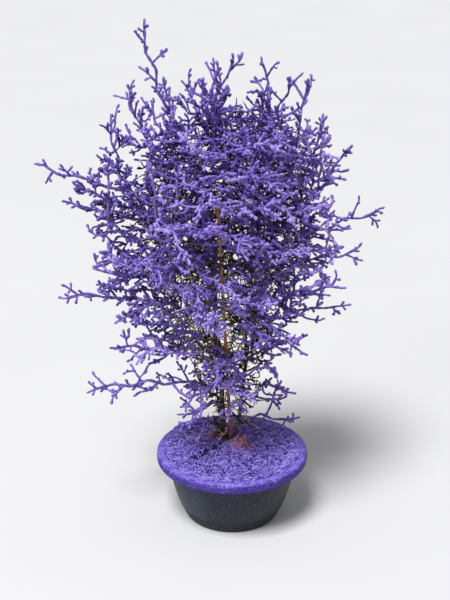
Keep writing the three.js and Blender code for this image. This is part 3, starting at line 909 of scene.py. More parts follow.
def hides_cane(point):
    """Whether a twig there stands before the cane, where the photographed side shows it"""
    if point[1] > 10:
        return False
    eye_x, eye_y, eye_z = (value / MM for value in CAMERA_PLACE)
    nearer = (CANE_TOP[1] - eye_y) / (point[1] - eye_y)
    seen_x = eye_x + (point[0] - eye_x) * nearer
    seen_z = eye_z + (point[2] - eye_z) * nearer
    if not any(low < seen_z < high for low, high in CANE_WINDOWS):
        return False
    return abs(seen_x - cane_at(seen_z)[0]) < CORRIDOR


def in_room(point):
    low, high = cad_box
    return (low.x / MM - ROOM_MARGIN < point[0] < high.x / MM + ROOM_MARGIN
            and low.y / MM - ROOM_MARGIN < point[1] < high.y / MM + ROOM_MARGIN
            and LOWEST_FINE_TWIG < point[2] < high.z / MM + ROOM_ABOVE)


# By height: the share of its rise that a twig keeps, and how much it is turned up
LAYER_RISE = ([120, 300, 500, 590], [0.8, 0.6, 0.65, 1.0])
LAYER_LIFT = ([120, 470, 600, 680], [0.0, 0.05, 0.45, 0.9])


def levelled(way, point):
    """The direction as the crown's layers take it: flatter in the middle, steeper at the top"""
    share = np.interp(point[2], *LAYER_RISE)
    lift = np.interp(point[2], *LAYER_LIFT)
    return unit(np.array([way[0], way[1], way[2] * share + lift]))


def aside(along, lean, roll):
    """A direction that leans from another, rolled round it"""
    u, v = cross_axes(along)
    corner = u * math.cos(roll) + v * math.sin(roll)
    return along * math.cos(lean) + corner * math.sin(lean)


class Grower:
    """Adds the fine twigs of one limb to its rods"""

    def __init__(self, rods, seed):
        self.rods = rods
        self.chance = np.random.default_rng(seed)

    def between(self, low, high):
        return low + (high - low) * self.chance.random()

    def club(self, root, heading, length, radius, coat, tint):
        """A tuft of tiny leaves under powder: a short stalk that swells to a round head"""
        bend = aside(heading, self.between(0.1, 0.5), self.between(0, FULL_TURN))
        neck = root + heading * length * 0.35
        if hides_cane(neck + bend * length * 0.5):
            return
        swell = self.between(1.1, 1.45)
        if coat < 0.55:
            points = [root, neck, neck + bend * length * 0.45, neck + bend * length * 0.62]
            self.rods.add(points, radius * np.array([0.9, 0.92, swell, 0.7]), sides=4,
                          flat=self.between(0.75, 1.0), coat=coat, tint=tint)
            return
        points = [root, neck, neck + bend * length * 0.30, neck + bend * length * 0.52,
                  neck + bend * length * 0.65]
        self.rods.add(points, radius * np.array([0.9, 0.92, swell * 0.95, swell, 0.62 * swell]),
                      sides=5, flat=self.between(0.8, 1.0), coat=coat, tint=tint)

    def tip(self, root, heading, length, radius, coat, tint, mates):
        """The end of a twig: its last club, and mates beside it on the nodes before"""
        way = aside(heading, self.between(0.05, 0.4), self.between(0, FULL_TURN))
        self.club(root, way, length, radius, coat, tint)
        roll = self.between(0, FULL_TURN)
        for i in range(mates):
            side = aside(heading, self.between(0.6, 1.15), roll + i * ZIGZAG_TURN)
            self.club(root - heading * self.between(0, 5), side, length * self.between(0.5, 0.85),
                      radius, coat, tint)

    def twig(self, points, radius):
        """A crooked coated twig with clubs at its bends and at its tip"""
        coat = coat_at(points[-1])
        # Painted light and shade in the tint: darker where the twig holds less powder within the
        # crown, lighter in front and at the upper right, on a random tone.
        front = eased(points[-1][1], -45, -115)
        tint = (self.between(-0.24, 0.2) + 0.5 * (coat - 0.8) + 0.16 * front
                + 0.25 * painted_light_on_right(points[-1]))
        line, _ = finer(points, np.ones(len(points)), 3.6)
        if any(hides_cane(point) for point in line):
            return
        self.rods.add(line, lumpy(self.chance, radius * np.linspace(1.0, 0.82, len(line)), 0.55),
                      coat=coat, tint=tint)
        roll = self.between(0, FULL_TURN)
        for i in range(1, len(points) - 1):
            if self.chance.random() < 0.7:
                way = unit(points[i + 1] - points[i - 1])
                side = aside(way, self.between(0.8, 1.35), roll + i * ZIGZAG_TURN)
                side = unit(levelled(side, points[i]) + UP * self.between(-0.3, 0.45))
                self.club(points[i], side, self.between(4.5, 9), radius * 0.92, coat, tint)
        out = unit(points[-1] - points[-2])
        self.tip(points[-1], out, self.between(6, 10.5), radius * 0.95, coat, tint,
                 int(self.between(1, 3.3)))

    def sprig(self, root, heading, steps, step, radius):
        out = heading
        roll = self.between(0, FULL_TURN)
        points = [root]
        for i in range(steps):
            out = levelled(aside(out, self.between(0.3, 0.65), roll + i * ZIGZAG_TURN), points[-1])
            points.append(points[-1] + out * step * self.between(0.8, 1.25))
        if not in_room(points[-1]):
            return
        self.twig(points, radius)

    def spray(self, points, radius):
        """A stout bright twig that carries clubs all along"""
        line, _ = finer(points, np.ones(len(points)), 4)
        thick = lumpy(self.chance, radius * np.linspace(1.0, 0.85, len(line)), 0.5)
        coats = np.array([min(1.0, coat_at(point) + 0.1) for point in line])
        # Painted light makes the sprays pale. Painted shade makes them darker where they lie at the
        # side and set back.
        at_the_side = eased(abs(points[-1][0] - CROWN_AXIS[0]), 60, 100)
        set_back = eased(points[-1][1], -70, -40)
        tint = self.between(0.3, 0.52) - 0.26 * at_the_side * set_back
        self.rods.add(line, thick, sides=6, coat=coats, tint=tint)
        roll = self.between(0, FULL_TURN)
        for i in range(2, len(line) - 1):
            if coats[i] > 0.7 and self.chance.random() < 0.85:
                way = unit(line[i + 1] - line[i - 1])
                side = aside(way, self.between(0.7, 1.3), roll + i * ZIGZAG_TURN)
                if self.chance.random() < 0.2:
                    way = levelled(side, line[i])
                    self.sprig(line[i], way, 2, self.between(6, 9), radius * 0.9)
                else:
                    self.club(line[i], side, self.between(6, 12), radius * 0.9, 1.0, tint)
        self.tip(line[-1], unit(line[-1] - line[-2]), self.between(11, 15), radius, 1.0, tint, 5)

    def thin_twig(self, points):
        """A thin inner twig that the powder hardly reached, with its own side twigs"""
        if not all(in_room(point) and not hides_cane(point) for point in points):
            return
        if how_far_out(points[-1]) > thin_limit(points[-1]):
            return
        high = eased(points[-1][2], 440, 540)
        coat = max(0.0, coat_at(points[-1]) - self.between(-0.15, 0.25) * (1 - high))
        low = eased(points[0][2], 460, 310)
        # Painted shade darkens these inner twigs. Painted light makes them lighter low down near
        # the stems and at the upper right.
        tint = self.between(-0.35, 0.2) + 0.35 * low + 0.2 * painted_light_on_right(points[-1])
        olive = low * self.between(0.2, 1.0)
        self.rods.add(points, np.linspace(1.5, 1.0, len(points)) * (1 - 0.25 * low), sides=3,
                      coat=coat, tint=tint, olive=olive)
        out = unit(points[-1] - points[0])
        roll = self.between(0, FULL_TURN)
        for i, point in enumerate(points[1:]):
            if self.chance.random() < 0.62:
                side = aside(out, self.between(0.7, 1.4), roll + i * ZIGZAG_TURN)
                reach = self.between(5, 13)
                knee = point + side * reach * 0.5
                end = knee + unit(side + aside(side, 0.8, roll)) * reach * 0.5
                self.rods.add([point, knee, end], [1.1, 1.05, 0.8], sides=3, coat=coat, tint=tint,
                              olive=olive)
                if self.chance.random() < 0.55:
                    self.leaf(end, side)

    def bare_twig(self, root, heading, length):
        """A thin twig of a length that starts off in a direction"""
        steps = max(4, round(length / 11))
        roll = self.between(0, FULL_TURN)
        out = heading
        points = [root]
        for i in range(steps):
            out = unit(aside(out, self.between(0.3, 0.7), roll + i * ZIGZAG_TURN) + UP * 0.05)
            points.append(points[-1] + out * length / steps)
        self.thin_twig(points)

    def leaf(self, root, heading):
        """One bare leaf with its silvery underside"""
        self.blade(root, heading, self.between(3.2, 5.5), self.between(1.0, 1.4), 0.0)

    def blade(self, root, heading, size, width, rust):
        points = [root, root + heading * size * 0.35, root + heading * size * 0.75,
                  root + heading * size]
        self.rods.add(points, width * np.array([0.2, 1.0, 0.85, 0.15]), sides=4, flat=0.25, pale=1,
                      rust=rust)

    def riser(self, points):
        """A thin limb that rises through a gap, bare but for its top"""
        line, _ = finer(points, np.ones(len(points)), 5)
        coats = np.interp(np.linspace(0, 1, len(line)), [0, 0.7, 1], [0.42, 0.42, 0.9])
        thick = lumpy(self.chance, np.linspace(2.0, 1.6, len(line)), 0.25)
        self.rods.add(line, thick, sides=5, coat=coats, tint=0.25)
        self.tip(line[-1], unit(line[-1] - line[-2]), 12, 1.6, 0.9, 0.05, 3)


def lumpy(chance, thick, lumps):
    return thick * (1 + lumps * (chance.random(len(thick)) - 0.5))


SPRIG_SPACING = 9.5
SPUR_SHARE = 0.3
# Chances of a sprig outside the dense crown: above its top's start, and below its foot's end
# near the middle and at the sides
TOP_FROM = 540
TOP_SHARE = 0.2
FOOT_BELOW = 300
FOOT_MIDDLE = 75
FOOT_MIDDLE_SHARE = 0.15
FOOT_SIDE_SHARE = 0.45
# Long bare twigs that rise in the lower crown
RISING_BELOW = 440
RISING_SHARE = 0.012


def twig_radius(point, coat):
    """Thicker with powder in front and outside"""
    front = np.clip(in_front(point[1]), -0.3, 1)
    high = eased(point[2], 450, 600)
    return 1.36 + 0.46 * coat + 0.34 * front + 0.1 * high


def side_twigs(grower, line, thick):
    """Sprigs, spurs and bare twigs along a limb or a shoot"""
    chance = grower.chance
    turn = grower.between(0, FULL_TURN)
    walked = grower.between(0, SPRIG_SPACING)
    count = 0
    for i in range(1, len(line) - 1):
        walked += np.linalg.norm(line[i] - line[i - 1])
        if walked < SPRIG_SPACING:
            continue
        walked -= SPRIG_SPACING * grower.between(0.85, 1.15)
        count += 1
        point = line[i]
        out = how_far_out(point)
        along = unit(line[i + 1] - line[i - 1])
        roll = turn + count * ZIGZAG_TURN + grower.between(-0.4, 0.4)
        heading = aside(along, grower.between(0.7, 1.2), roll)
        foot_share = FOOT_MIDDLE_SHARE if abs(point[0]) < FOOT_MIDDLE else FOOT_SIDE_SHARE
        if out > 1.0:
            if point[2] > TOP_FROM and out < 1.25 and chance.random() < TOP_SHARE:
                grower.sprig(point, unit(heading + UP * 0.9), int(grower.between(1.6, 4.2)),
                             grower.between(9, 13), 1.6)
            elif point[2] < FOOT_BELOW and chance.random() < foot_share:
                grower.sprig(point, levelled(heading, point), int(grower.between(1.2, 3.2)),
                             grower.between(7, 10), 1.6)
            elif chance.random() < SPUR_SHARE:
                grower.club(point, heading, grower.between(8, 14), min(1.7, thick[i]), 1.0,
                            grower.between(-0.1, 0.2))
            continue
        radius = twig_radius(point, coat_at(point))
        if chance.random() < (0.25 if out < 0.35 else 0.8):
            grower.sprig(point, levelled(heading, point), int(grower.between(1.2, 3.2)),
                         grower.between(7, 10), radius)
        if chance.random() < 0.9 - 0.8 * out:
            way = aside(along, grower.between(0.9, 1.6), roll + math.pi)
            grower.bare_twig(point, way, grower.between(20, 40))
        if point[2] < RISING_BELOW and chance.random() < RISING_SHARE:
            grower.bare_twig(point, unit(heading * 0.3 + UP), grower.between(55, 95))


# Branchlets that fill the crown between the limbs

ROOMS = 9500
ROOMS_WITHIN = ((-130, 160), (118, CROWN_TOP))
INNER_ROOMS = 19000
NEAREST_ROOM = 11.5
NEAREST_INNER = 5.0
FARTHEST_ROOM = 55
TOP_SPACING = ([500, 600], [1.0, 1.5])
INWARD_COST = 2.0
BRANCHLET_LIMIT = 1.06
BRANCHLET_STEP = 11.5
BRANCHLET_SWING = 3.4
INNER_STEP = 7
INNER_SWING = 1.6
RISER_SWING = 1.5
RISE_WEIGHT = 2.4
# The longest way from a place to its limb, by how far out it is, and its gain on the right
FINGERS = ([0.3, 0.5, 0.7, 0.85, 1.1], [75, 48, 34, 23, 15])
FULLER_SIDE = 0.65
PARTING_SHARE = 0.6
PARTING_WIDTH = 22
PARTING_HEIGHTS = (230, 500)
# Bright sprays, most of them before the crown, each by three places on the way to its tip
FRONT_SPRAYS = [
    [(-65, -70, 525), (-35, -90, 515), (-10, -105, 495)],
    [(-20, -80, 530), (10, -90, 535), (50, -100, 530)],
    [(-60, -85, 460), (-80, -100, 470), (-100, -110, 475)],
    [(-25, -90, 465), (0, -110, 465), (15, -120, 450)],
    [(-80, -100, 475), (-70, -110, 460), (-60, -120, 440)],
    [(-35, -90, 400), (-15, -110, 400), (5, -120, 390)],
    [(-85, -80, 390), (-50, -100, 375), (-45, -110, 355)],
    [(-50, -90, 345), (-35, -105, 340), (-20, -110, 330)],
    [(0, -70, 345), (15, -90, 370), (45, -100, 365)],
    [(30, -90, 495), (50, -100, 505), (75, -105, 490)],
    [(-25, -70, 555), (-40, -90, 570), (-60, -90, 585)],
    [(10, -70, 565), (30, -85, 580), (55, -90, 575)],
    [(-110, -60, 415), (-130, -75, 410), (-150, -80, 420)],
    [(40, -80, 435), (65, -95, 435), (95, -100, 440)],
    [(-10, -40, 225), (5, -60, 220), (25, -70, 220)],
    [(0, -40, 255), (-15, -55, 265), (-35, -60, 265)],
    [(-75, -40, 270), (-100, -60, 285), (-125, -65, 280)],
    [(-45, -95, 365), (-35, -110, 355), (-30, -115, 350)],
    [(-10, -95, 335), (-20, -110, 350), (-25, -115, 360)],
    [(-5, -40, 250), (0, -60, 270), (10, -65, 275)],
    [(10, -40, 250), (0, -60, 245), (-5, -70, 235)],
    [(40, -60, 325), (65, -70, 315), (80, -80, 310)],
    [(-55, -85, 390), (-45, -100, 390), (-45, -110, 375)],
    [(-45, -95, 500), (-25, -110, 510), (-5, -110, 500)],
    [(-30, -50, 375), (-15, -60, 375), (0, -70, 380)],
    [(-20, -50, 350), (-10, -60, 360), (5, -70, 360)],
    [(-15, -30, 225), (-5, -45, 230), (10, -55, 235)],
    [(25, -20, 230), (40, -35, 250), (55, -40, 250)],
    [(10, -30, 195), (0, -45, 190), (-5, -50, 185)],
    [(-185, 20, 435), (-165, 15, 410), (-140, 5, 390)],
    [(-160, 5, 475), (-180, 0, 485), (-205, -5, 500)],
    [(-170, 0, 460), (-155, -5, 440), (-140, -10, 425)],
    [(-120, 0, 380), (-145, -10, 370), (-170, -15, 360)],
    [(-75, -10, 330), (-105, -15, 340), (-135, -20, 340)],
    [(-105, -20, 340), (-130, -30, 330), (-150, -35, 320)],
    [(-65, -20, 320), (-95, -30, 330), (-130, -40, 325)],
    [(-65, -20, 305), (-100, -30, 310), (-130, -35, 315)],
    [(-60, -15, 280), (-95, -25, 290), (-125, -35, 290)],
    [(-90, -10, 570), (-100, -10, 590), (-110, -5, 610)],
    [(-75, -20, 585), (-80, -20, 605), (-85, -15, 620)],
    [(-85, -20, 565), (-100, -25, 570), (-115, -30, 580)],
    [(90, -10, 425), (110, -15, 415), (140, -20, 415)],
    [(90, -5, 395), (110, -10, 385), (130, -15, 375)],
    [(85, -20, 480), (100, -25, 480), (120, -30, 475)]]
# Thin bare limbs that rise through the gaps, each by three places
BARE_RISERS = [
    [(-100, -80, 475), (-100, -85, 510), (-105, -85, 545)],
    [(-70, -90, 500), (-70, -95, 520), (-70, -95, 540)],
    [(-165, -25, 460), (-165, -25, 490), (-165, -25, 525)],
    [(-80, -90, 445), (-85, -95, 465), (-90, -95, 485)],
    [(115, 15, 485), (120, 15, 530), (120, 15, 570)]]
# Dry leaves caught in the twigs: where each hangs and how far it points up
DRY_LEAF_HEADING = (0.75, -0.55)
DRY_LEAVES = [((20, -115, 515), -0.35), ((60, -100, 540), 0.35), ((-85, -95, 410), -0.5)]
DRY_LEAF_LENGTH = 17
DRY_LEAF_WIDTH = 2.7
SPRAY_RADIUS = 1.8


def finger_length(place):
    """How far from its limbs the crown is filled there: least outside, more on the right"""
    fuller = 1 + FULLER_SIDE * eased(place[0], -30, 40)
    return np.interp(how_far_out(place), *FINGERS) * fuller


def in_parting(place):
    """Whether a place is in the looser strip in front of the stems"""
    foot, top = PARTING_HEIGHTS
    middle = np.interp(place[2], [100, 600], [0, -12])
    return place[1] < -5 and foot < place[2] < top and abs(place[0] - middle) < PARTING_WIDTH


def thin_limit(place):
    """How far out the thin twigs go: past the narrow foot, and further on the right"""
    above_foot = 0.62 + 0.22 * eased(place[0], -60, 20)
    return np.interp(place[2], [195, 250], [1.3, above_foot])


def branchlet_limit(_):
    """How far out the branchlets go, the same everywhere"""
    return BRANCHLET_LIMIT


def crown_rooms(count, nearest, farthest, seed):
    """Places all through the crown for twigs to reach, from a share of the way out to a limit"""
    (front, back), (foot, top) = ROOMS_WITHIN
    low = np.array([CROWN_SIDES[:, 1].min(), front, foot], float)
    high = np.array([CROWN_SIDES[:, 2].max(), back, top], float)
    chance = np.random.default_rng(seed)
    places = low + (high - low) * chance.random((count, 3))
    thinned = chance.random(count) < PARTING_SHARE
    return np.array([place for place, thin in zip(places, thinned)
                     if nearest < how_far_out(place) < farthest(place) and not hides_cane(place)
                     and not (thin and in_parting(place))])


def stepped_line(root, end, step, swing, chance):
    """Points after the root of a line that steps aside at every bend"""
    reach = np.linalg.norm(end - root)
    steps = max(2, round(reach / step))
    u, v = cross_axes((end - root) / reach)
    turn = chance.random() * 2 * math.pi
    line = []
    for i in range(1, steps + 1):
        angle = turn + i * ZIGZAG_TURN
        shift = swing * (0.7 + 0.6 * chance.random())
        corner = u * math.cos(angle) + v * math.sin(angle)
        line.append(mixed(root, end, i / steps) + corner * shift)
    return line


class Skeleton:
    """Points of everything grown so far, each with the number of its limb"""

    def __init__(self, limbs):
        self.points = np.empty((0, 3))
        self.owners = np.empty(0, int)
        self.out = np.empty(0)
        self.weight = np.array([1.0, 1.0, RISE_WEIGHT])
        self.limbs = len(limbs)
        for k, limb in enumerate(limbs):
            for way in [limb["points"]] + [shoot["points"][:-2] for shoot in limb["shoots"]]:
                self.add(finer(way, np.ones(len(way)), 6)[0], k)

    def add(self, points, owner):
        self.points = np.concatenate([self.points, points])
        self.owners = np.concatenate([self.owners, np.full(len(points), owner)])
        self.out = np.concatenate([self.out, [how_far_out(point) for point in points]])

    def cost(self, room):
        """Square of the way to a room, dearer up and down and for a twig that grows inwards"""
        way = np.sum(((self.points - room) * self.weight) ** 2, axis=1)
        return np.where(self.out > how_far_out(room), way * INWARD_COST, way)

    def nearest(self, place):
        return int(np.argmin(self.cost(place)))

    def through(self, ways, swing, seed):
        """For each limb, the lines that grow from it through listed places"""
        chance = np.random.default_rng(seed)
        grown = [[] for _ in range(self.limbs)]
        for places in np.array(ways, float):
            nearest = self.nearest(places[0])
            owner = self.owners[nearest]
            line = [self.points[nearest]]
            for place in places:
                line += stepped_line(line[-1], place, BRANCHLET_STEP, swing, chance)
            grown[owner].append(line)
            self.add(line[1:], owner)
        return grown

    def reach(self, rooms, shortest, step, swing, seed):
        """For each limb, the crooked lines that grow from it into the rooms still empty"""
        chance = np.random.default_rng(seed)
        grown = [[] for _ in range(self.limbs)]
        first = np.sqrt([self.cost(room).min() for room in rooms])
        for index in chance.permutation(len(rooms)):
            room = rooms[index]
            if first[index] > finger_length(room):
                continue
            nearest = self.nearest(room)
            root, owner = self.points[nearest], self.owners[nearest]
            wider = np.interp(room[2], *TOP_SPACING)
            if shortest * wider < np.linalg.norm(room - root) < FARTHEST_ROOM:
                line = stepped_line(root, room, step * wider, swing, chance)
                grown[owner].append([root] + line)
                self.add(line, owner)
        return grown


FINE_SPACING = 3.8


def limb_piece(limb, grown, number):
    rods = Rods()
    grower = Grower(rods, 100 + number)
    line, thick = finer(limb["points"], limb["radii"], FINE_SPACING)
    coats = np.array([min(1.0, coat_at(p) + 0.06) for p in line])
    fronts = np.clip(in_front(line[:, 1]), 0, 1)
    swollen = lumpy(grower.chance, thick, 0.45) * (0.66 + 0.26 * coats + 0.25 * fronts)
    rods.add(line, swollen, sides=7, coat=coats, tint=grower.between(-0.05, 0.12))
    out = unit(line[-1] - line[-3])
    grower.tip(line[-1], out, CLUB_LENGTH, 1.65, 1.0, 0.08, 2)
    side_twigs(grower, line, thick)
    for shoot in limb["shoots"]:
        way = shoot["points"][:-2]
        line, thick = finer(way, np.full(len(way), SHOOT_RADIUS), FINE_SPACING)
        coats = np.array([min(1.0, coat_at(p) + 0.08) for p in line])
        rods.add(line, lumpy(grower.chance, thick, 0.5), sides=6, coat=coats,
                 tint=grower.between(-0.1, 0.15))
        last = unit(shoot["points"][-1] - way[-1])
        grower.tip(way[-1], last, CLUB_LENGTH * grower.between(0.8, 1.1), 1.6, coats[-1],
                   grower.between(-0.05, 0.2), int(grower.between(1, 3.4)))
        side_twigs(grower, line, thick)
    for points in grown["sprays"]:
        grower.spray(points, SPRAY_RADIUS)
    for points in grown["risers"]:
        grower.riser(points)
    for root, rise in grown["leaves"]:
        heading = unit(np.array([*DRY_LEAF_HEADING, rise]))
        grower.blade(root, heading, DRY_LEAF_LENGTH, DRY_LEAF_WIDTH, 1.0)
    for points in grown["branchlets"]:
        longer = 1 + 0.06 * (len(points) - 3)
        grower.twig(points, twig_radius(points[-1], coat_at(points[-1])) * longer)
    for points in grown["inner"]:
        grower.thin_twig(points)
    return rods.made(f"limb_{number:02d}", lumps=0.4, seed=number)


def dress_crown():
    limbs = grow_crown()
    skeleton = Skeleton(limbs)
    grown = {
        "sprays": skeleton.through(FRONT_SPRAYS, BRANCHLET_SWING * 0.9, 76),
        "risers": skeleton.through(BARE_RISERS, RISER_SWING, 79),
        "branchlets": skeleton.reach(crown_rooms(ROOMS, 0.42, branchlet_limit, 5), NEAREST_ROOM,
                                     BRANCHLET_STEP, BRANCHLET_SWING, 77),
        "inner": skeleton.reach(crown_rooms(INNER_ROOMS, 0.0, thin_limit, 6), NEAREST_INNER,
                                INNER_STEP, INNER_SWING, 78),
        "leaves": [[] for _ in limbs]}
    for place, rise in DRY_LEAVES:
        nearest = skeleton.nearest(np.array(place, float))
        grown["leaves"][skeleton.owners[nearest]].append((skeleton.points[nearest], rise))
    for i, limb in enumerate(limbs):
        number = i + 1
        piece = limb_piece(limb, {kind: ways[i] for kind, ways in grown.items()}, number)
        dressed(piece, "coated_twig", f"branch_{number:02d}")


dress_crown()


# Stems, cane and ties

def stem_piece(stem, name, seed):
    chance = np.random.default_rng(seed)
    line, thick = finer(list(stem.points), stem.radii, 5)
    rods = Rods()
    coats = np.interp(line[:, 2], [100, 180, 420, 610], [0.25, 0.2, 0.35, 0.7])
    rods.add(line, lumpy(chance, thick, 0.14), sides=14, coat=coats)
    return rods.made(name, lumps=0.10, seed=seed)


def cane_piece():
    along = unit(CANE_TOP - CANE_FOOT)
    length = np.linalg.norm(CANE_TOP - CANE_FOOT)
    joints = [length * i / (CANE_JOINTS + 1) for i in range(1, CANE_JOINTS + 1)]
    places = set(np.linspace(0, length, 70))
    for joint in joints:
        places.update(joint + shift for shift in (-3.2, -1.6, -0.8, -0.35, 0, 0.4, 1.2, 2.4, 4))
    places = sorted(places)
    radii, rings = [], []
    for place in places:
        near = min((place - joint for joint in joints), key=abs)
        swell = CANE_JOINT * math.exp(-(near / 1.5) ** 2)
        groove = 0.35 if abs(near - 0.4) < 0.05 else 0.0
        radii.append(CANE_RADIUS + swell - groove)
        rings.append(1.0 if abs(near) < 0.9 else 0.0)
    rods = Rods()
    heights = [CANE_FOOT[2] + along[2] * place for place in places]
    coats = np.interp(heights, [100, 300, 486], [0.22, 0.2, 0.3])
    # Painted light: a share of paler skin that rises with height, against the crown's shade.
    painted_cane_light = np.interp(heights, [190, 340], [0.0, 0.9])
    line = [CANE_FOOT + along * place for place in places]
    rods.add(line, radii, sides=20, coat=coats, tint=rings, pale=painted_cane_light)
    return rods.made("bamboo_cane", lumps=0.02, seed=3)


def tie_piece(name, height):
    """A loop of soft band round the main stem and the cane"""
    centre, radius = STEMS["main"].at(height)
    cane = cane_at(height)
    bearing = math.atan2(cane[1] - centre[1], cane[0] - centre[0])
    span = math.hypot(cane[0] - centre[0], cane[1] - centre[1])
    inner = max(radius, CANE_RADIUS) + TIE_CLEARANCE
    middle = inner + TIE_THICKNESS / 2
    way = []
    for start, centre_x in ((math.pi / 2, 0), (-math.pi / 2, span)):
        for i in range(TIE_BENDS + 1):
            angle = start + math.pi * i / TIE_BENDS
            way.append((centre_x + middle * math.cos(angle), middle * math.sin(angle)))
    corners, faces = [], []
    section = []
    for i in range(TIE_CORNERS):
        angle = 2 * math.pi * i / TIE_CORNERS
        high = TIE_WIDTH / 2 * math.copysign(abs(math.sin(angle)) ** 0.5, math.sin(angle))
        wide = TIE_THICKNESS / 2 * math.copysign(abs(math.cos(angle)) ** 0.6, math.cos(angle))
        section.append((wide, high))
    count = len(way)
    for i, (x, y) in enumerate(way):
        fore, aft = way[(i + 1) % count], way[i - 1]
        dx, dy = fore[0] - aft[0], fore[1] - aft[1]
        size = math.hypot(dx, dy)
        nx, ny = dy / size, -dx / size
        slack = 0.25 * math.sin(i * 1.7) + 0.15 * math.sin(i * 2.9 + height)
        for wide, high in section:
            px, py = x + nx * wide, y + ny * wide
            corners.append((
                (centre[0] + px * math.cos(bearing) - py * math.sin(bearing)) * MM,
                (centre[1] + px * math.sin(bearing) + py * math.cos(bearing)) * MM,
                (height + high * (1 + 0.08 * math.sin(i * 2.3)) + slack) * MM))
    sides = len(section)
    for i in range(count):
        for k in range(sides):
            a, b = i * sides + k, i * sides + (k + 1) % sides
            c, d = ((i + 1) % count) * sides + (k + 1) % sides, ((i + 1) % count) * sides + k
            faces.append((a, b, c, d))
    return mesh_of(name, corners, faces)


dressed(stem_piece(STEMS["main"], "stem_main", 11), "bark", "trunk_main")
dressed(stem_piece(STEMS["second"], "stem_second", 12), "bark", "trunk_second")
dressed(cane_piece(), "cane", "cane")
for tie_name, tie_height in TIE_HEIGHTS.items():
    dressed(tie_piece(f"band_{tie_name}", tie_height), "tie", tie_name)


# Bowl

RIM_RADIUS = 110
POT_HEIGHT = 102
RIM_HEIGHT = 15
RIM_WIDTH = 13.4
RIM_ROUND = 4
NECK_RADIUS = 93
BELLY_RADIUS = 87
BELLY_HEIGHT = 34
BASE_RADIUS = 68
BASE_CHAMFER = 2
WALL = 3
FLOOR = 4
NECK_HEIGHT = POT_HEIGHT - RIM_HEIGHT
RIM_INSIDE = RIM_RADIUS - RIM_WIDTH
BASE_BEND = 28
BOWL_SIDES = 160
GROOVE_HEIGHTS = [FIRST_GROOVE + GROOVE_SPACING * i for i in range(4)]
GROOVE_DEPTH = 0.9


def turned_mesh(name, profile, sides, relief=None):
    """A closed body turned about the Z axis from (radius, height) pairs that start and end on it"""
    corners, faces = [], []
    rows = []
    for radius, height in profile:
        if radius == 0:
            rows.append([len(corners)])
            corners.append((0, 0, height * MM))
            continue
        rows.append(list(range(len(corners), len(corners) + sides)))
        for k in range(sides):
            angle = 2 * math.pi * k / sides
            lift, swell = relief(radius, height, angle) if relief else (0, 0)
            corners.append(((radius + swell) * math.cos(angle) * MM,
                            (radius + swell) * math.sin(angle) * MM, (height + lift) * MM))
    for low, high in zip(rows, rows[1:]):
        for k in range(sides):
            a, b = low[k % len(low)], low[(k + 1) % len(low)]
            c, d = high[(k + 1) % len(high)], high[k % len(high)]
            faces.append(tuple(dict.fromkeys((a, b, c, d))))
    return mesh_of(name, corners, faces)


def bowl_side(inset, foot, top, steps):
    ends = np.array([(BASE_RADIUS - inset, foot), (BELLY_RADIUS - inset, BELLY_HEIGHT),
                     (NECK_RADIUS - inset, top)], float)
    side = []
    for i in range(steps + 1):
        t = i / steps
        side.append(tuple(ends[0] * (1 - t) ** 2 + ends[1] * 2 * t * (1 - t) + ends[2] * t * t))
    return side


def arc(radius, height, size, first, last, steps):
    turns = np.linspace(first, last, steps + 1)
    return [(radius + size * math.cos(t), height + size * math.sin(t)) for t in turns]


def grooved(side):
    """The bowl's side with its fine turned grooves near the foot"""
    radii, heights = zip(*side)
    edges = {groove + shift for groove in GROOVE_HEIGHTS for shift in (-0.8, -0.45, 0, 0.45, 0.8)}
    cut = []
    for height in sorted(edges.union(heights)):
        radius = float(np.interp(height, heights, radii))
        near = min(abs(height - groove) for groove in GROOVE_HEIGHTS)
        if near < 0.1:
            radius -= GROOVE_DEPTH
        elif near < 0.5:
            radius -= GROOVE_DEPTH * 0.6
        cut.append((radius, height))
    return cut


def powder_relief(radius, height, angle):
    """Caked powder on the rim, in soft grains"""
    if height < NECK_HEIGHT + 1 or radius < RIM_INSIDE - 2:
        return 0, 0
    x, y = radius * math.cos(angle), radius * math.sin(angle)
    grain = (math.sin(x * 1.9 + y * 2.3 + height) * math.sin(y * 1.7 - x * 1.1 + 2 * height)
             + 0.6 * math.sin(x * 3.7 - y * 3.1 + height * 2.3))
    return 0.22 * grain, 0.18 * grain


def bowl_piece():
    top = POT_HEIGHT - RIM_ROUND
    profile = [(0, 0), (BASE_BEND, 0), (BASE_RADIUS - BASE_CHAMFER, 0)]
    profile += grooved(bowl_side(0, BASE_CHAMFER, NECK_HEIGHT, 26))
    profile += [(NECK_RADIUS + share * (RIM_RADIUS - RIM_ROUND - NECK_RADIUS), NECK_HEIGHT)
                for share in (0.1, 0.5, 0.9)]
    profile += arc(RIM_RADIUS - RIM_ROUND, NECK_HEIGHT + RIM_ROUND, RIM_ROUND, -math.pi / 2, 0, 6)
    profile += [(RIM_RADIUS, mixed(NECK_HEIGHT + RIM_ROUND, top, share))
                for share in (0.25, 0.5, 0.75)]
    profile += arc(RIM_RADIUS - RIM_ROUND, top, RIM_ROUND, 0, math.pi / 2, 6)
    profile += [(mixed(RIM_RADIUS - RIM_ROUND, RIM_INSIDE + RIM_ROUND, share), POT_HEIGHT)
                for share in (0.25, 0.5, 0.75)]
    profile += arc(RIM_INSIDE + RIM_ROUND, top, RIM_ROUND, math.pi / 2, math.pi, 6)
    profile += reversed(bowl_side(WALL, FLOOR, NECK_HEIGHT, 12))
    profile += [(0, FLOOR)]
    return turned_mesh("bowl", profile, BOWL_SIDES, powder_relief)


dressed(bowl_piece(), "bowl", "pot")


# Mat of fibres

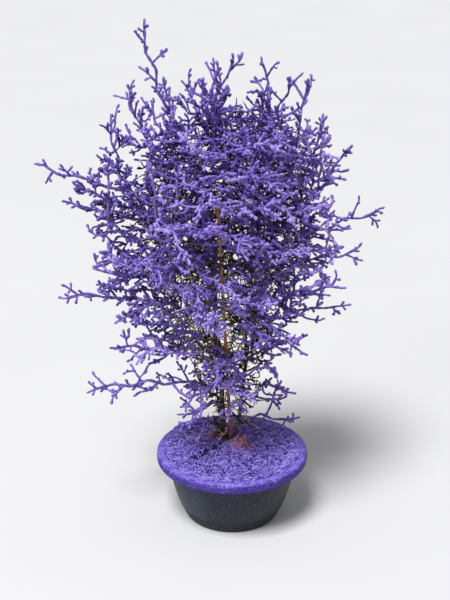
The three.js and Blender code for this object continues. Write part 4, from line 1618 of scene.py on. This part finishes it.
SOIL_EDGE = 91
SOIL_CROWN = 98.5
MAT_THICKNESS = 5.5
MAT_RELIEF = 1.3
CLUMP_PLACE = (13, -3)
CLUMP_HEIGHT = 17
CLUMP_SPREAD = 9.5
CLUMP_REACH = 20
EDGE_WIDTH = 13
EDGE_RISE = 4.0
FIT = 0.3
MOUTH_SLOPE = (RIM_INSIDE - (NECK_RADIUS - WALL)) / (RIM_HEIGHT - RIM_ROUND)
BARE_PATCH = (-26, 36)
BARE_WIDTH = 44
BARE_DEPTH = 30
FIBRE_COUNT = 4000
CLUMP_FIBRES = 900
EDGE_FIBRES = 700
EDGE_REACH = 99.5
FURROW = [(-6, 20), (-22, -2), (-34, -14), (-54, -36)]
FURROW_WIDTH = 3.0
FURROW_DEPTH = 3.0
# A height by which the corners of the bed's top are known until they get their relief
TO_BE_RAISED = 1000


def mouth_radius(height):
    return NECK_RADIUS - WALL + (height - NECK_HEIGHT) * MOUTH_SLOPE


def rim_surface(radius):
    """Height of the rim's round inner edge, or 0 inside it"""
    away = RIM_INSIDE + RIM_ROUND - radius
    if away >= RIM_ROUND:
        return 0.0
    return POT_HEIGHT - RIM_ROUND + math.sqrt(RIM_ROUND ** 2 - away ** 2)


def mound_height(radius):
    return mixed(SOIL_CROWN, SOIL_EDGE, min(1, radius / mouth_radius(SOIL_EDGE)) ** 2)


def edge_share(radius):
    """0 over most of the mat, 1 where it meets the bowl"""
    return min(1.0, max(0.0, 1 - (mouth_radius(SOIL_EDGE) - radius) / EDGE_WIDTH))


def furrow_share(x, y):
    """1 along the furrow that runs from the stems to the front, 0 away from it"""
    away = POT_HEIGHT
    for (ax, ay), (bx, by) in zip(FURROW, FURROW[1:]):
        run_x, run_y = bx - ax, by - ay
        share = ((x - ax) * run_x + (y - ay) * run_y) / (run_x ** 2 + run_y ** 2)
        share = min(1.0, max(0.0, share))
        away = min(away, math.hypot(x - ax - run_x * share, y - ay - run_y * share))
    return math.exp(-(away / FURROW_WIDTH) ** 2)


def mat_height(x, y):
    lumps = (math.sin(x * 0.31 + y * 0.17) * math.cos(y * 0.29 - x * 0.12)
             + 0.6 * math.sin(x * 0.57 - y * 0.49 + 1.3))
    away = math.hypot(x - CLUMP_PLACE[0], y - CLUMP_PLACE[1]) / CLUMP_SPREAD
    radius = math.hypot(x, y)
    edge = edge_share(radius)
    return (mound_height(radius) + MAT_THICKNESS + MAT_RELIEF * lumps
            + CLUMP_HEIGHT * math.exp(-0.5 * away * away) + EDGE_RISE * edge * edge
            - FURROW_DEPTH * furrow_share(x, y))


def mat_traits(x, y):
    """How much powder and how much rust the mat has there"""
    clump = math.hypot(x - CLUMP_PLACE[0], y - CLUMP_PLACE[1])
    rust = math.exp(-(clump / 20) ** 2)
    across, deep = (x - BARE_PATCH[0]) / BARE_WIDTH, (y - BARE_PATCH[1]) / BARE_DEPTH
    patch = math.exp(-across ** 2 - deep ** 2)
    coat = 1.05 - 0.94 * math.exp(-(clump / 19) ** 2) - 0.7 * patch
    return min(1.0, max(0.0, coat)), min(1.0, rust * 1.3 + patch)


def behind(y):
    """0 in front of the stems, 1 at the mat's back, where powder lies on the fibres alone and
    painted light lifts the colour against the crown's shadow
    """
    return float(eased(y, 12, 46))


def mat_bed():
    sides, rings = 120, 44
    rim = mouth_radius(SOIL_EDGE + MAT_THICKNESS) - 2 * FIT
    profile = [(0, SOIL_CROWN + FIT)]
    for share in (0.25, 0.5, 0.75, 1):
        radius = (mouth_radius(SOIL_EDGE) - FIT) * share
        profile.append((radius, mound_height(radius) + FIT))
    for ring in range(rings, -1, -1):
        profile.append((rim * ring / rings, TO_BE_RAISED))
    bed = turned_mesh("mat_bed", profile, sides)
    coats, rusts, tints = [], [], []
    for corner in bed.data.vertices:
        x, y, z = corner.co.x / MM, corner.co.y / MM, corner.co.z / MM
        if z > TO_BE_RAISED / 2:
            rough = 0.7 * math.sin(x * 2.1 + y * 1.3) * math.sin(y * 2.7 - x * 1.9)
            corner.co.z = (mat_height(x, y) - 0.9 + rough * 0.6) * MM
        coat, rust = mat_traits(x, y)
        back = behind(y)
        # Painted shade: the bed under the fibres gets a dark tint, bare of powder in the furrow.
        # Painted light lifts its tint at the back against the crown's shadow.
        coats.append(max(0.0, coat * 0.8 - furrow_share(x, y) - 0.3 * back))
        rusts.append(min(1.0, rust + 0.5 * back))
        tints.append(-0.75 + 0.9 * rust + 0.5 * back)
    for name, values in (("coat", coats), ("rust", rusts), ("tint", tints)):
        set_trait(bed.data, name, values)
    return bed


def curl_fibres(name, count, seed, place, length, lift, tilt):
    """Short curved fibres that lie on the mat, each at the place that a function gives"""
    chance = np.random.default_rng(seed)
    rods = Rods()
    for i in range(count):
        x, y = place(chance, i)
        reach = length * (0.6 + 0.8 * chance.random())
        heading = chance.random() * 2 * math.pi
        curl = (chance.random() - 0.5) * 3.0
        rise = lift * (0.4 + 1.2 * chance.random())
        slope = tilt * (chance.random() - 0.35) * (1 - 0.8 * edge_share(math.hypot(x, y)))
        points = []
        px, py = x, y
        for step in range(5):
            share = step / 4
            points.append((px, py, mat_height(px, py) - 0.7 + rise * math.sin(math.pi * share)
                           + slope * share * reach))
            turn = heading + curl * share
            px += math.cos(turn) * reach / 4
            py += math.sin(turn) * reach / 4
        if max(furrow_share(*point[:2]) for point in points[::2]) > 0.45:
            continue
        if math.hypot(px, py) > EDGE_REACH:
            scale = EDGE_REACH / math.hypot(px, py)
            points = [(p[0] * scale, p[1] * scale, p[2]) for p in points]
        points = [(p[0], p[1], max(p[2], rim_surface(math.hypot(p[0], p[1])) + 0.3))
                  for p in points]
        coat, rust = mat_traits(x, y)
        thick = 0.5 + 0.3 * chance.random()
        # Painted light lifts the tint of the fibres at the back, against the crown's shadow, and
        # their random tone spreads wider there.
        rods.add(points, np.array([0.55, 1.0, 1.05, 0.95, 0.5]) * thick, sides=3,
                 coat=coat * (0.82 + 0.3 * chance.random()), rust=rust,
                 tint=(1.1 + behind(y)) * (chance.random() - 0.28) + 0.15 * behind(y))
    return rods.made(name, lumps=0.25, seed=seed)


def spiralled(i, away):
    """The place of a fibre on a spiral, at a distance from its centre"""
    angle = i * GOLDEN * math.pi * 2
    return away * math.cos(angle), away * math.sin(angle)


def over_the_mat(chance, i):
    x, y = spiralled(i, EDGE_REACH * math.sqrt((i + 0.5) / FIBRE_COUNT))
    return x + chance.random() * 2, y + chance.random() * 2


def on_the_edge(chance, i):
    return spiralled(i, EDGE_REACH - 9 * chance.random())


def on_the_clump(_, i):
    x, y = spiralled(i, CLUMP_REACH * math.sqrt((i + 0.5) / CLUMP_FIBRES))
    return CLUMP_PLACE[0] + x, CLUMP_PLACE[1] + y


# Name, count, seed, place, length, lift and tilt of the fibres
FIBRES = (
    ("mat_fibres", FIBRE_COUNT, 21, over_the_mat, 13.5, 3.0, 0.65),
    ("moss_tuft", CLUMP_FIBRES, 22, on_the_clump, 5.5, 1.5, 0.4),
    ("edge_fibres", EDGE_FIBRES, 23, on_the_edge, 7, 1.2, 0.5))

dressed(mat_bed(), "coated_mat", "ground_cover")
for row in FIBRES:
    dressed(curl_fibres(*row), "coated_mat")

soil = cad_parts["soil"]
soil.data.materials.clear()
soil.data.materials.append(FINISHES["compost"])


# Floor

FLOOR_METRES = 120


def pale_floor():
    finish = Finish("pale_floor")
    clouds = finish.noise(400, 2.0)
    colour = finish.mix(clouds, (0.72, 0.72, 0.73, 1), (0.76, 0.76, 0.76, 1))
    return finish.surface({"Base Color": colour, "Roughness": 0.9, "Specular IOR Level": 0.1})


def add_floor():
    far = FLOOR_METRES / 2
    corners = [(-far, -far, 0), (far, -far, 0), (far, far, 0), (-far, far, 0)]
    floor = mesh_of("floor", corners, [(0, 1, 2, 3)])
    floor.data.materials.append(pale_floor())


add_floor()
